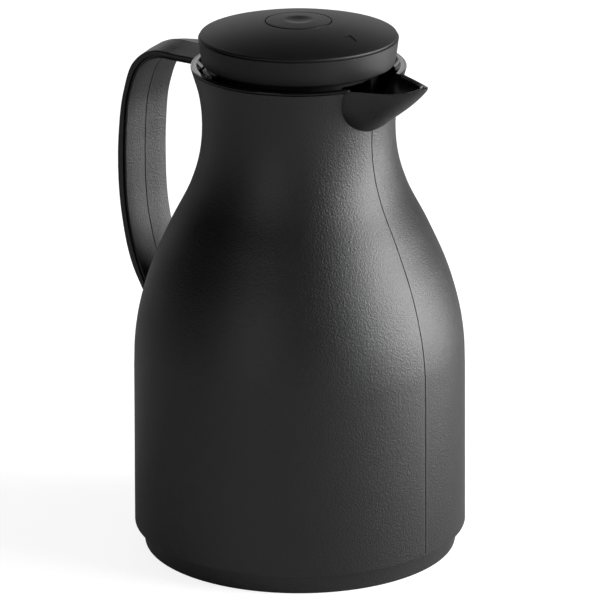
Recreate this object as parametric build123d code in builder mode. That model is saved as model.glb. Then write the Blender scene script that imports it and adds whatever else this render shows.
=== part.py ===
"""Thermal carafe: moulded casing with a glass vacuum flask and a screw-in stopper with a push-button valve.

Millimetres. +Z is up, the origin is the centre of the foot on the surface it stands on, and the spout
points along +X with the handle opposite, so the moulds part along the plane y = 0.
"""
from build123d import *
import math
import os

os.makedirs("parts", exist_ok=True)

# ---- fits ----------------------------------------------------------------------------------------
FIT = 0.2             # gap between pieces that are assembled and stay put
RUN = 0.3             # gap between pieces that move past each other
SLIDE = 0.05          # radial gap of a shaft in its bore
CUT = 1.0             # how far a cutter runs past the face that it opens

# ---- casing: outside radii and heights -----------------------------------------------------------
CASING_WALL = 2.6
CASING_BOTTOM_Z = 9.4         # lower edge, where the foot steps in
CASING_TOP_Z = 215.4          # neck edge under the collar's flange
CASING_BOTTOM_R = 73.2
BELLY_R = 72.3
SHOULDER_HEIGHT = 133.4       # from the end of the straight side up to the neck's edge
WAIST_R = 41.75
WAIST_DEPTH = 25.4            # under the neck's edge
# how far in and how far up each point lies on the way from the belly to the waist
SHOULDER = [(0.0622, 0.2083), (0.2357, 0.3981), (0.5205, 0.5833), (0.8380, 0.7639)]
NECK_SPREAD = 4.45            # how far the neck's edge stands out past the waist
NECK_FLARE = 0.62             # steepness of the flare at the neck's edge
EDGE_R = 0.8                  # rounding of the casing's lower edge
PARTING_WIDTH = 0.36          # witness line that the two mould halves leave
PARTING_DEPTH = 0.25
SOCKET_WALL = 4.7             # thicker wall that takes the base plate
SOCKET_HEIGHT = 15.0
SNAP_BEAD = 0.7               # how far the base plate's snap bead stands out, and half its height

# ---- base plate ----------------------------------------------------------------------------------
FOOT_STEP = 2.9               # how far the foot steps in under the casing
FOOT_TAPER = 1.45             # how far it narrows from there to the ground
FOOT_EDGE_R = 0.8
FOOT_RING_WIDTH = 6.0
FOOT_RECESS = 1.6
BASE_THICKNESS = 2.4
BASE_SKIRT_WALL = 2.2
BASE_SKIRT_HEIGHT = 11.0
BASE_HUB_R = 20.0             # flat disc in the middle, level with the foot ring
CUP_R = 17.0                  # cup that holds the tip cushion
CUP_WALL = 2.0
CUP_HEIGHT = 8.0

# ---- handle: outside and inside of the band, out from the belly and down from the neck's edge ----
HANDLE_WIDTH = 25.0
HANDLE_EDGE_R = 1.5
HANDLE_ROOT = 5.2             # how far inside the neck's edge the upper arm starts
HANDLE_ROOT_DEPTHS = (0.8, 5.0)
HANDLE_OUTER = [(-10.3, 2.0), (4.2, 3.8), (14.3, 10.8), (20.8, 25.0), (24.7, 57.4), (22.8, 82.9),
                (17.0, 104.2), (8.1, 118.9), (-0.8, 132.4)]
HANDLE_INNER = [(-10.3, 5.7), (1.7, 7.2), (9.7, 12.2), (16.3, 25.0), (19.4, 57.4), (18.0, 81.9),
                (12.3, 102.0), (5.1, 115.9), (-2.8, 127.4)]

# ---- spout: distance past the neck's edge, half width, keel and rim height over that edge --------
SPOUT = [(-16.2, 18.8, -21.4, 1.0), (-4.2, 18.5, -20.1, 1.1), (3.8, 15.4, -14.8, 1.4),
         (13.8, 11.1, -7.7, 1.5), (19.8, 7.2, -2.8, 2.0), (24.0, 3.3, 1.1, 3.3),
         (25.4, 1.1, 3.0, 4.0)]
SPOUT_ROUND = 0.88            # share of a section's depth that is its round underside
SPOUT_SETBACK = 1.5           # how far an inner form's tip stays back, in walls
SPOUT_KEEL_SLOPE = 1.15       # a wall's height over the sloping keel, in walls
SPOUT_WALL = 1.2
TROUGH_WALL = 1.1
TROUGH_RISE = 1.2             # from the top of the thread's bore to the liner's floor

# ---- neck collar ---------------------------------------------------------------------------------
FLANGE_OVERHANG = 0.2
FLANGE_THICKNESS = 1.5
FLANGE_EDGE_R = 0.6
FLANGE_WIDTH = 2.65           # from the flange's edge to the mouth
COLLAR_WALL = 1.7
BORE_STEP = 0.75              # how much smaller the thread's bore is than the waist's inside
BORE_HEIGHT = 10.2
SEAT_DEPTH = 23.4             # from the neck's edge down to the seat that the stopper closes on
SEAT_THICKNESS = 2.2
SEAT_WIDTH = 6.3

# ---- stopper thread ------------------------------------------------------------------------------
THREAD_STARTS = 3
THREAD_LEAD = 30.0            # rise in one turn
THREAD_ARC = 60.0             # degrees that each ridge runs
THREAD_ENTRY = 33.0           # degrees from a collar ridge's start to the plug ridge that meets it
THREAD_HEIGHT = 1.9           # axial size of a ridge at its root
THREAD_TIP = 1.1              # axial size of a ridge at its tip
THREAD_DEPTH = 1.9
THREAD_ROOT = 0.5             # how far a ridge is sunk into the wall that carries it
THREAD_RISE = 2.4             # from the seat to where the collar's ridges begin

# ---- vacuum flask --------------------------------------------------------------------------------
GLASS = 1.5
JACKET_GAP = 11.8             # from the belly's outside to the outer bottle
FLASK_BOTTOM_Z = 21.0
FLASK_BOTTOM_HEIGHT = 25.0    # of the round bottom
FLASK_SHOULDER_DEPTH = 70.8   # from the bottles' mouth down to the end of the straight side
FLASK_NECK_LENGTH = 18.8
MOUTH_STEP = 1.2              # how much smaller the flask's mouth is than the seat's hole
NECK_GAP = 3.5                # between the bottles at the neck
VACUUM_GAP = 5.0
RIM_THICKNESS = 2.0
SEAL_THICKNESS = 3.0
SEAL_HOOK = 1.6               # wall of the seal that hangs round the rim
TIP_R = 4.0                   # glass nipple where the flask was pumped out
TIP_END_R = 1.2
TIP_LENGTH = 7.0
PAD_R = 5.0
PAD_COUNT = 3
PAD_Z = 78.0
CUSHION_WALL = 8.0
CUSHION_RISE = 9.0
FOAM_RISE = 14.0              # from the flask's shoulder to the cushion round it
FOAM_HEIGHT = 10.0

# ---- lid cap -------------------------------------------------------------------------------------
LID_GAP = 2.15                # between the skirt and the mouth's edge
LID_FLARE = 1.45              # how far the skirt widens
LID_LIFT = 1.2                # from the flange to the skirt
LID_SKIRT = 12.0
DOME_RISE = 6.8
LID_WALL = 2.0
LID_EDGE_R = 0.9
LEDGE_DEPTH = 1.4             # ledge that the plug's deck lies against
LEDGE_HEIGHT = 1.4
CATCH_DEPTH = 0.4             # bead that snaps under the deck
CATCH_HEIGHT = 0.8
POINTER_AT_R = 27.3           # the pointer's flat end; its tip is nearer the rim
POINTER_LENGTH = 6.3
POINTER_WIDTH = 4.8
POINTER_DEPTH = 0.35
BUTTON_HOLE_R = 14.4
BUTTON_GUIDE_WALL = 1.6
BUTTON_GUIDE_DEPTH = 6.0

# ---- stopper plug --------------------------------------------------------------------------------
PLUG_WALL = 2.0
PLUG_FLOOR = 2.4
PLUG_GAP = 0.4                # between the plug's wall and the collar's ridges
STOPPER_SEAL = 2.0
SEAL_EDGE_R = 0.4
SPIGOT_GAP = 0.6              # round the spigot in the seat's hole
SPIGOT_WALL = 2.0
SPIGOT_DEPTH = 4.6
PORT_R = 11.5
DECK_LIFT = 2.8               # from the flange to the underside of the deck
DECK_THICKNESS = 2.0
WELL_R = 12.8                 # pocket in the deck for the latch and the spring
WELL_WALL = 1.8
WELL_DEPTH = 12.7
WELL_FLOOR = 2.0
WINDOW_COUNT = 6
WINDOW_WIDTH = 19.0
WINDOW_SILL = 6.3             # above the plug's floor
WINDOW_HEIGHT = 11.5

# ---- button, latch and valve ---------------------------------------------------------------------
STROKE = 4.5                  # travel of the button until its skirt meets the latch guide
BUTTON_GAP = 0.4
BUTTON_WALL = 1.6
BUTTON_TOP_WALL = 3.2
BUTTON_EDGE_R = 0.4
DIMPLE_R = 6.6
DIMPLE_DEPTH = 0.7
PLUNGER_GAP = 1.4             # between the plunger and the guide's ribs
PLUNGER_WALL = 2.2
PLUNGER_DEPTH = 0.9           # how far the plunger reaches into the well
PLUNGER_RECESS = 3.4          # the plunger's end is hollow this far round the stem
TOOTH_COUNT = 8
TOOTH_DEPTH = 1.0
TOOTH_TAPER = 30.0
GUIDE_WALL = 1.6
GUIDE_OVERLAP = 2.6           # how far the guide's flange reaches past the button's hole
GUIDE_FLANGE = 1.4
RIB_COUNT = 4
RIB_WIDTH = 3.0
RIB_DEPTH = 1.4
RIB_REACH = 5.7               # how far the ribs reach into the well
ROTOR_HEIGHT = 3.4
ROTOR_TURN = 22.5             # degrees in one press
LUG_WIDTH = 2.0
STEM_R = 2.5
STEM_CHAMFER = 0.5
STEM_SOCKET_WALL = 1.5
STEM_SEAL = 1.6
STEM_SEAL_WALL = 2.15
SPRING_GAP = 1.9              # from the stem's seal to the middle of the wire
SPRING_WIRE = 0.8
SPRING_TURNS = 4
VALVE_OVERLAP = 3.0           # how far the disc reaches past the port
VALVE_THICKNESS = 1.8
VALVE_EDGE_R = 0.5
VALVE_SEAL = 1.4
SCREW_R = 1.2
SCREW_HEAD_R = 2.6
SCREW_HEAD = 1.6
SCREW_LENGTH = 7.0
CROSS_LENGTH = 3.4            # cross recess in the screw's head
CROSS_WIDTH = 0.6


# ---- shared outlines -----------------------------------------------------------------------------
def side_face(inset, bottom_z=CASING_BOTTOM_Z):
    """Half section of all that lies inside the casing's side above bottom_z, moved in by inset."""
    start = (CASING_BOTTOM_R - inset, CASING_BOTTOM_Z)
    belly = (BELLY_R - inset, belly_z)
    shoulder = [(BELLY_R - across * (BELLY_R - WAIST_R) - inset, belly_z + up * (waist_z - belly_z))
                for across, up in SHOULDER]
    neck = [(WAIST_R - inset, waist_z), (neck_top_r - inset, CASING_TOP_Z)]
    taper = (BELLY_R - CASING_BOTTOM_R, belly_z - CASING_BOTTOM_Z)
    flare = (NECK_SPREAD, NECK_FLARE * WAIST_DEPTH)
    with BuildSketch(Plane.XZ) as half:
        with BuildLine():
            side = Line(start, belly)
            curve = Spline(belly, *shoulder, *neck, tangents=[taper, flare])
            Polyline(curve @ 1, (0, CASING_TOP_Z), (0, CASING_BOTTOM_Z), side @ 0)
        make_face()
        if bottom_z > CASING_BOTTOM_Z:
            with Locations((0, bottom_z)):
                Rectangle(3 * CASING_BOTTOM_R, CASING_TOP_Z, align=(Align.CENTER, Align.MAX),
                          mode=Mode.SUBTRACT)
    return half.sketch


def ring_face(points):
    """Half section of a turned piece from its corners (radius, height)."""
    with BuildSketch(Plane.XZ) as half:
        with BuildLine():
            Polyline(*points, close=True)
        make_face()
    return half.sketch


def box_face(inner_r, outer_r, low_z, high_z):
    """Rectangular half section of a ring."""
    return ring_face([(inner_r, low_z), (outer_r, low_z), (outer_r, high_z), (inner_r, high_z)])


def spout_form(inset, above_rim, floor_z=0.0):
    """Solid form of the spout, moved in by inset and up past its rim, with no floor under floor_z."""
    root, tip = SPOUT[0][0], SPOUT[-1][0]
    with BuildPart(mode=Mode.PRIVATE) as form:
        for out, half_width, keel, rim in SPOUT:
            reach = (out - root) / (tip - root)
            width = half_width - inset * (1 - reach)
            low = max(CASING_TOP_Z + keel + SPOUT_KEEL_SLOPE * inset * (1 - reach), floor_z)
            middle = low + SPOUT_ROUND * (CASING_TOP_Z + rim - low)
            top = CASING_TOP_Z + rim + above_rim
            x = neck_top_r + out - SPOUT_SETBACK * inset * reach
            plane = Plane((x, 0, 0), x_dir=(0, 1, 0), z_dir=(1, 0, 0))
            with BuildSketch(plane):
                with BuildLine():
                    EllipticalCenterArc((0, middle), width, middle - low, 180, arc_size=180)
                    Polyline((width, middle), (width, top), (-width, top), (-width, middle))
                make_face()
        loft()
    return form.part


def handle_line(root_depth, points):
    """Points of one side of the handle, from its root in the neck to its end in the belly."""
    root = (HANDLE_ROOT - neck_top_r, CASING_TOP_Z - root_depth)
    return [root] + [(-BELLY_R - out, CASING_TOP_Z - depth) for out, depth in points]


def thread_ridges(root_r, outward, start_z, start_angle=0.0):
    """Ridges of the stopper's thread, standing out of a wall of radius root_r or into its bore."""
    sign = 1 if outward else -1
    rise = THREAD_LEAD * THREAD_ARC / 360
    with BuildPart(mode=Mode.PRIVATE) as ridge:
        with BuildLine() as path:
            Helix(THREAD_LEAD, rise, root_r, center=(0, 0, start_z))
        with BuildSketch(Plane.XZ):
            with BuildLine():
                Polyline((root_r - sign * THREAD_ROOT, start_z - THREAD_HEIGHT / 2),
                         (root_r + sign * THREAD_DEPTH, start_z - THREAD_TIP / 2),
                         (root_r + sign * THREAD_DEPTH, start_z + THREAD_TIP / 2),
                         (root_r - sign * THREAD_ROOT, start_z + THREAD_HEIGHT / 2), close=True)
            make_face()
        sweep(path=path.wires()[0], is_frenet=True)
    return [Rot(0, 0, start_angle + 360 / THREAD_STARTS * i) * ridge.part for i in range(THREAD_STARTS)]


def bottle_face(inset, neck_r, top_z):
    """Half section of everything inside a bottle's wall, moved in by inset from the outer bottle."""
    side_r = flask_r - inset
    with BuildSketch(Plane.XZ) as half:
        with BuildLine():
            bottom = EllipticalCenterArc((0, flask_side_z), side_r, FLASK_BOTTOM_HEIGHT - inset,
                                         270, arc_size=90)
            side = Line(bottom @ 1, (side_r, flask_shoulder_z))
            shoulder = Spline(side @ 1, (neck_r, flask_neck_z), tangents=[(0, 1), (0, 1)])
            Polyline(shoulder @ 1, (neck_r, top_z), (0, top_z), bottom @ 0)
        make_face()
    return half.sketch


def dome_height(r):
    """Height of the lid's dome at a distance r from the axis."""
    return dome_top_z - dome_r + math.sqrt(dome_r ** 2 - r ** 2)


def dome_face(rim_r, rim_z, bottom_r, bottom_z, top_z):
    """Half section of a domed disc on a tapering skirt."""
    rise = top_z - rim_z
    radius = (rim_r ** 2 + rise ** 2) / (2 * rise)
    middle = (rim_r / 2, top_z - radius + math.sqrt(radius ** 2 - rim_r ** 2 / 4))
    with BuildSketch(Plane.XZ) as half:
        with BuildLine():
            skirt = Line((bottom_r, bottom_z), (rim_r, rim_z))
            dome = ThreePointArc(skirt @ 1, middle, (0, top_z))
            Polyline(dome @ 1, (0, bottom_z), skirt @ 0)
        make_face()
    return half.sketch


def turned(face):
    """Solid of revolution about the carafe's axis, for use inside another piece."""
    with BuildPart(mode=Mode.PRIVATE) as solid:
        revolve(face, axis=Axis.Z)
    return solid.part


# ---- heights and radii that follow from the values above -----------------------------------------
socket_r = CASING_BOTTOM_R - SOCKET_WALL
socket_top_z = CASING_BOTTOM_Z + SOCKET_HEIGHT
belly_z = CASING_TOP_Z - SHOULDER_HEIGHT
waist_z = CASING_TOP_Z - WAIST_DEPTH
neck_top_r = WAIST_R + NECK_SPREAD
flange_r = neck_top_r + FLANGE_OVERHANG
flange_top_z = CASING_TOP_Z + FLANGE_THICKNESS
mouth_r = flange_r - FLANGE_WIDTH
collar_inset = CASING_WALL + FIT
bore_r = WAIST_R - collar_inset - COLLAR_WALL - BORE_STEP
seat_hole_r = bore_r - SEAT_WIDTH
seat_z = CASING_TOP_Z - SEAT_DEPTH
seat_bottom_z = seat_z - SEAT_THICKNESS
bore_top_z = seat_z + BORE_HEIGHT
trough_floor_z = bore_top_z + TROUGH_RISE
thread_z = seat_z + THREAD_RISE
rim_z = seat_bottom_z - SEAL_THICKNESS
bottle_top_z = rim_z - RIM_THICKNESS
flask_r = BELLY_R - JACKET_GAP
flask_mouth_r = seat_hole_r - MOUTH_STEP
flask_neck_r = flask_mouth_r + 2 * GLASS + NECK_GAP
flask_side_z = FLASK_BOTTOM_Z + FLASK_BOTTOM_HEIGHT
flask_shoulder_z = bottle_top_z - FLASK_SHOULDER_DEPTH
flask_neck_z = bottle_top_z - FLASK_NECK_LENGTH
foam_z = flask_shoulder_z + FOAM_RISE
plug_r = bore_r - THREAD_DEPTH - PLUG_GAP
floor_z = seat_z + RUN + STOPPER_SEAL
floor_top_z = floor_z + PLUG_FLOOR
spigot_r = seat_hole_r - SPIGOT_GAP
deck_z = flange_top_z + DECK_LIFT
deck_top_z = deck_z + DECK_THICKNESS
well_outer_r = WELL_R + WELL_WALL
well_inside_z = deck_top_z - WELL_DEPTH
well_floor_z = well_inside_z - WELL_FLOOR
window_z = floor_top_z + WINDOW_SILL
lid_bottom_r = mouth_r - LID_GAP
lid_bottom_z = flange_top_z + LID_LIFT
lid_r = lid_bottom_r + LID_FLARE
lid_edge_z = lid_bottom_z + LID_SKIRT
dome_top_z = lid_edge_z + DOME_RISE
dome_r = (lid_r ** 2 + DOME_RISE ** 2) / (2 * DOME_RISE)
deck_r = lid_bottom_r + LID_FLARE / LID_SKIRT * (deck_z - lid_bottom_z) - LID_WALL - FIT
button_r = BUTTON_HOLE_R - BUTTON_GAP
guide_outer_r = WELL_R - FIT
guide_inner_r = guide_outer_r - GUIDE_WALL
guide_flange_r = BUTTON_HOLE_R + GUIDE_OVERLAP
guide_top_z = deck_top_z + GUIDE_FLANGE
rib_inner_r = guide_inner_r - RIB_DEPTH
plunger_r = rib_inner_r - PLUNGER_GAP
plunger_end_z = deck_top_z - PLUNGER_DEPTH
rotor_top_z = plunger_end_z - RUN
rotor_bottom_z = rotor_top_z - ROTOR_HEIGHT
tooth_width = math.pi * plunger_r / TOOTH_COUNT
stem_top_z = dome_top_z - BUTTON_TOP_WALL
stem_seal_r = STEM_R + SLIDE
spring_r = stem_seal_r + STEM_SEAL_WALL + SPRING_GAP
valve_r = PORT_R + VALVE_OVERLAP
valve_seal_top_z = floor_z - RUN
valve_top_z = valve_seal_top_z - VALVE_SEAL
valve_bottom_z = valve_top_z - VALVE_THICKNESS
base_floor_z = FOOT_RECESS + BASE_THICKNESS
foot_top_r = CASING_BOTTOM_R - FOOT_STEP
foot_bottom_r = foot_top_r - FOOT_TAPER
skirt_outer_r = socket_r - FIT
bead_z = CASING_BOTTOM_Z + BASE_SKIRT_HEIGHT / 2


# ---- casing: the outer jacket with the spout's shell ---------------------------------------------
parting_strip = side_face(-CUT) - side_face(PARTING_DEPTH)
groove_half = SNAP_BEAD + FIT
bead_groove = ring_face([(socket_r - CUT, bead_z - groove_half), (socket_r + FIT, bead_z - groove_half),
                         (socket_r + SNAP_BEAD, bead_z), (socket_r + FIT, bead_z + groove_half),
                         (socket_r - CUT, bead_z + groove_half)])
with BuildPart() as casing:
    revolve(side_face(0), axis=Axis.Z)
    fillet(casing.edges().filter_by(GeomType.CIRCLE).sort_by(Axis.Z)[0], EDGE_R)
    with BuildSketch(Plane.XZ):
        add(parting_strip)
        mirror(about=Plane.YZ)
    extrude(amount=PARTING_WIDTH / 2, both=True, mode=Mode.SUBTRACT)
    add(spout_form(0, 0))
    add(turned(box_face(0, flange_r + FIT / 2, CASING_TOP_Z, flange_top_z + CUT)), mode=Mode.SUBTRACT)
    add(turned(side_face(CASING_WALL, socket_top_z)), mode=Mode.SUBTRACT)
    add(turned(box_face(0, socket_r, CASING_BOTTOM_Z - CUT, socket_top_z + CUT)), mode=Mode.SUBTRACT)
    add(turned(bead_groove), mode=Mode.SUBTRACT)
    add(spout_form(SPOUT_WALL, CUT), mode=Mode.SUBTRACT)
casing.part.label = "casing"
export_step(casing.part, "parts/casing.step")

# ---- handle: a wide flat band whose ends follow the casing ---------------------------------------
with BuildPart() as handle:
    with BuildSketch(Plane.XZ):
        with BuildLine():
            outside = Spline(*handle_line(HANDLE_ROOT_DEPTHS[0], HANDLE_OUTER))
            inside = Spline(*handle_line(HANDLE_ROOT_DEPTHS[1], HANDLE_INNER))
            Line(outside @ 0, inside @ 0)
            Line(outside @ 1, inside @ 1)
        make_face()
    extrude(amount=HANDLE_WIDTH / 2, both=True)
    fillet(handle.edges().filter_by(GeomType.BSPLINE), HANDLE_EDGE_R)
    add(turned(side_face(0)), mode=Mode.SUBTRACT)
handle.part.label = "handle"
export_step(handle.part, "parts/handle.step")

# ---- neck collar: rim flange, mouth funnel, thread bore, seat and spout trough -------------------
trough_outset = SPOUT_WALL + FIT
trough_inset = trough_outset + TROUGH_WALL
with BuildPart() as neck_collar:
    revolve(side_face(collar_inset, seat_bottom_z), axis=Axis.Z)
    add(turned(box_face(0, flange_r, CASING_TOP_Z, flange_top_z)))
    fillet(neck_collar.edges().filter_by(GeomType.CIRCLE).group_by(Axis.Z)[-1], FLANGE_EDGE_R)
    add(spout_form(trough_outset, 2 * CUT, trough_floor_z - TROUGH_WALL) & spout_form(0, 0))
    add(turned(box_face(0, seat_hole_r, seat_bottom_z - CUT, seat_z + CUT)), mode=Mode.SUBTRACT)
    add(turned(box_face(0, bore_r, seat_z, flange_top_z + CUT)), mode=Mode.SUBTRACT)
    add(turned(side_face(collar_inset + COLLAR_WALL, bore_top_z)), mode=Mode.SUBTRACT)
    lip_bottom_r = neck_top_r - collar_inset - COLLAR_WALL
    lip = ring_face([(0, CASING_TOP_Z - CUT), (lip_bottom_r, CASING_TOP_Z - CUT), (mouth_r, flange_top_z),
                     (mouth_r, flange_top_z + CUT), (0, flange_top_z + CUT)])
    add(turned(lip), mode=Mode.SUBTRACT)
    add(spout_form(trough_inset, 2 * CUT, trough_floor_z), mode=Mode.SUBTRACT)
    add(thread_ridges(bore_r, False, thread_z))
neck_collar.part.label = "neck_collar"
export_step(neck_collar.part, "parts/neck_collar.step")

# ---- mouth seal: silicone ring over the flask's mouth --------------------------------------------
with BuildPart() as mouth_seal:
    seal_r = flask_neck_r + FIT
    hook_r = seal_r + SEAL_HOOK
    revolve(ring_face([(seat_hole_r, rim_z), (seal_r, rim_z), (seal_r, bottle_top_z),
                       (hook_r, bottle_top_z), (hook_r, seat_bottom_z), (seat_hole_r, seat_bottom_z)]),
            axis=Axis.Z)
mouth_seal.part.label = "mouth_seal"
export_step(mouth_seal.part, "parts/mouth_seal.step")

# ---- vacuum flask: two bottles joined at the mouth, pads between them ----------------------------
with BuildPart() as flask_outer:
    revolve(bottle_face(0, flask_neck_r, bottle_top_z), axis=Axis.Z)
    tip = ring_face([(0, FLASK_BOTTOM_Z + GLASS), (TIP_R, FLASK_BOTTOM_Z + GLASS),
                     (TIP_END_R, FLASK_BOTTOM_Z - TIP_LENGTH), (0, FLASK_BOTTOM_Z - TIP_LENGTH)])
    add(turned(tip))
    add(turned(bottle_face(GLASS, flask_neck_r - GLASS, bottle_top_z)), mode=Mode.SUBTRACT)
flask_outer.part.label = "flask_outer"
export_step(flask_outer.part, "parts/flask_outer.step")

inner_inset = GLASS + VACUUM_GAP
with BuildPart() as flask_inner:
    revolve(bottle_face(inner_inset, flask_mouth_r + GLASS, bottle_top_z), axis=Axis.Z)
    add(turned(box_face(0, flask_neck_r, bottle_top_z, rim_z)))
    add(turned(bottle_face(inner_inset + GLASS, flask_mouth_r, rim_z)), mode=Mode.SUBTRACT)
flask_inner.part.label = "flask_inner"
export_step(flask_inner.part, "parts/flask_inner.step")

with BuildPart() as vacuum_spacers:
    for turn in range(PAD_COUNT):
        outwards = Vector(1, 0, 0).rotate(Axis.Z, 360 / PAD_COUNT * turn)
        pad_start = outwards * (flask_r - inner_inset - CUT) + Vector(0, 0, PAD_Z)
        with BuildSketch(Plane(origin=pad_start, z_dir=outwards)):
            Circle(PAD_R)
        extrude(amount=VACUUM_GAP + 2 * CUT)
    gap_inner_r = flask_r - inner_inset + FIT / 2
    gap_outer_r = flask_r - GLASS - FIT / 2
    vacuum_gap = turned(box_face(gap_inner_r, gap_outer_r, PAD_Z - 2 * PAD_R, PAD_Z + 2 * PAD_R))
    add(vacuum_gap, mode=Mode.INTERSECT)
vacuum_spacers.part.label = "vacuum_spacers"
export_step(vacuum_spacers.part, "parts/vacuum_spacers.step")

# ---- cushions that hold the flask in the casing --------------------------------------------------
with BuildPart() as shoulder_cushion:
    revolve(side_face(CASING_WALL + FIT, foam_z), axis=Axis.Z)
    add(turned(bottle_face(-FIT, flask_neck_r + FIT, bottle_top_z)), mode=Mode.SUBTRACT)
    add(turned(box_face(0, CASING_BOTTOM_R, foam_z + FOAM_HEIGHT, flange_top_z)), mode=Mode.SUBTRACT)
shoulder_cushion.part.label = "shoulder_cushion"
export_step(shoulder_cushion.part, "parts/shoulder_cushion.step")

with BuildPart() as tip_cushion:
    cushion_r = CUP_R - FIT
    revolve(box_face(cushion_r - CUSHION_WALL, cushion_r, base_floor_z, FLASK_BOTTOM_Z + CUSHION_RISE),
            axis=Axis.Z)
    add(turned(bottle_face(-FIT, flask_neck_r + FIT, bottle_top_z)), mode=Mode.SUBTRACT)
tip_cushion.part.label = "tip_cushion"
export_step(tip_cushion.part, "parts/tip_cushion.step")

# ---- base plate: foot ring, floor, cushion cup and the skirt that snaps into the casing ----------
foot_inner_r = foot_bottom_r - FOOT_RING_WIDTH
skirt_inner_r = skirt_outer_r - BASE_SKIRT_WALL
skirt_top_z = CASING_BOTTOM_Z + BASE_SKIRT_HEIGHT
with BuildPart() as base_plate:
    revolve(ring_face([(0, 0), (BASE_HUB_R, 0), (BASE_HUB_R, FOOT_RECESS), (foot_inner_r, FOOT_RECESS),
                       (foot_inner_r, 0), (foot_bottom_r, 0), (foot_top_r, CASING_BOTTOM_Z),
                       (skirt_outer_r, CASING_BOTTOM_Z), (skirt_outer_r, bead_z - SNAP_BEAD),
                       (skirt_outer_r + SNAP_BEAD, bead_z), (skirt_outer_r, bead_z + SNAP_BEAD),
                       (skirt_outer_r, skirt_top_z), (skirt_inner_r, skirt_top_z),
                       (skirt_inner_r, base_floor_z), (CUP_R + CUP_WALL, base_floor_z),
                       (CUP_R + CUP_WALL, base_floor_z + CUP_HEIGHT), (CUP_R, base_floor_z + CUP_HEIGHT),
                       (CUP_R, base_floor_z), (0, base_floor_z)]),
            axis=Axis.Z)
    foot_circles = base_plate.edges().filter_by(GeomType.CIRCLE).group_by(Axis.Z)[0]
    fillet(foot_circles.sort_by(lambda edge: edge.radius)[-1], FOOT_EDGE_R)
base_plate.part.label = "base_plate"
export_step(base_plate.part, "parts/base_plate.step")

# ---- lid cap: dome, skirt, button guide, and the ledge and bead that hold the plug's deck --------
with BuildPart() as lid_cap:
    revolve(dome_face(lid_r, lid_edge_z, lid_bottom_r, lid_bottom_z, dome_top_z), axis=Axis.Z)
    circles = lid_cap.edges().filter_by(GeomType.CIRCLE)
    fillet(circles.filter_by(lambda edge: abs(edge.radius - lid_r) < FIT), LID_EDGE_R)
    inside = dome_face(lid_r - LID_WALL, lid_edge_z - LID_WALL, lid_bottom_r - LID_WALL, lid_bottom_z,
                       dome_top_z - LID_WALL)
    add(turned(inside), mode=Mode.SUBTRACT)
    hole_wall_bottom_z = dome_top_z - LID_WALL - BUTTON_GUIDE_DEPTH
    hole_wall_r = BUTTON_HOLE_R + BUTTON_GUIDE_WALL
    hole_wall_top_z = dome_height(hole_wall_r) - LID_WALL / 2
    add(turned(box_face(BUTTON_HOLE_R - CUT, hole_wall_r, hole_wall_bottom_z, hole_wall_top_z)))
    ledge_outer_r = lid_bottom_r - LID_WALL / 2
    catch_top_z = deck_z - FIT
    ledge_z = deck_top_z + FIT / 2
    add(turned(box_face(deck_r - LEDGE_DEPTH, ledge_outer_r, ledge_z, ledge_z + LEDGE_HEIGHT)))
    add(turned(box_face(deck_r - CATCH_DEPTH, ledge_outer_r, catch_top_z - CATCH_HEIGHT, catch_top_z)))
    add(turned(box_face(0, BUTTON_HOLE_R, lid_bottom_z - CUT, dome_top_z + CUT)), mode=Mode.SUBTRACT)
    pointer_start = (POINTER_AT_R, 0, dome_height(POINTER_AT_R) - POINTER_DEPTH)
    pointer_tilt = math.degrees(math.asin((POINTER_AT_R + POINTER_LENGTH / 2) / dome_r))
    with BuildSketch(Plane(pointer_start).rotated((0, pointer_tilt, 0))):
        with BuildLine():
            Polyline((0, -POINTER_WIDTH / 2), (POINTER_LENGTH, 0), (0, POINTER_WIDTH / 2), close=True)
        make_face()
    extrude(amount=2 * CUT, mode=Mode.SUBTRACT)
lid_cap.part.label = "lid_cap"
export_step(lid_cap.part, "parts/lid_cap.step")

# ---- stopper plug: threaded wall with pour windows, floor with a port, deck with the latch's well ----
with BuildPart() as stopper_plug:
    revolve(box_face(0, plug_r, floor_z, deck_z), axis=Axis.Z)
    add(turned(box_face(0, deck_r, deck_z, deck_top_z)))
    add(turned(box_face(0, spigot_r, floor_z - SPIGOT_DEPTH, floor_z)))
    spigot_inner_r = spigot_r - SPIGOT_WALL
    add(turned(box_face(0, spigot_inner_r, floor_z - SPIGOT_DEPTH - CUT, floor_z)), mode=Mode.SUBTRACT)
    add(turned(box_face(well_outer_r, plug_r - PLUG_WALL, floor_top_z, deck_z)), mode=Mode.SUBTRACT)
    add(turned(box_face(0, well_outer_r + CUT, floor_top_z, well_floor_z)), mode=Mode.SUBTRACT)
    add(turned(box_face(0, WELL_R, well_inside_z, deck_top_z + CUT)), mode=Mode.SUBTRACT)
    add(turned(box_face(0, PORT_R, floor_z - CUT, floor_top_z + CUT)), mode=Mode.SUBTRACT)
    add(turned(box_face(0, STEM_R + RUN, well_floor_z - CUT, well_inside_z + CUT)), mode=Mode.SUBTRACT)
    with BuildSketch(Plane.XY.offset(window_z)):
        with PolarLocations(plug_r - PLUG_WALL - CUT, WINDOW_COUNT):
            Rectangle(PLUG_WALL + 2 * CUT, WINDOW_WIDTH, align=(Align.MIN, Align.CENTER))
    extrude(amount=WINDOW_HEIGHT, mode=Mode.SUBTRACT)
    mesh_drop = (THREAD_HEIGHT + THREAD_TIP) / 2 + RUN
    add(thread_ridges(plug_r, True, thread_z - mesh_drop + THREAD_LEAD * THREAD_ENTRY / 360, THREAD_ENTRY))
stopper_plug.part.label = "stopper_plug"
export_step(stopper_plug.part, "parts/stopper_plug.step")

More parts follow.
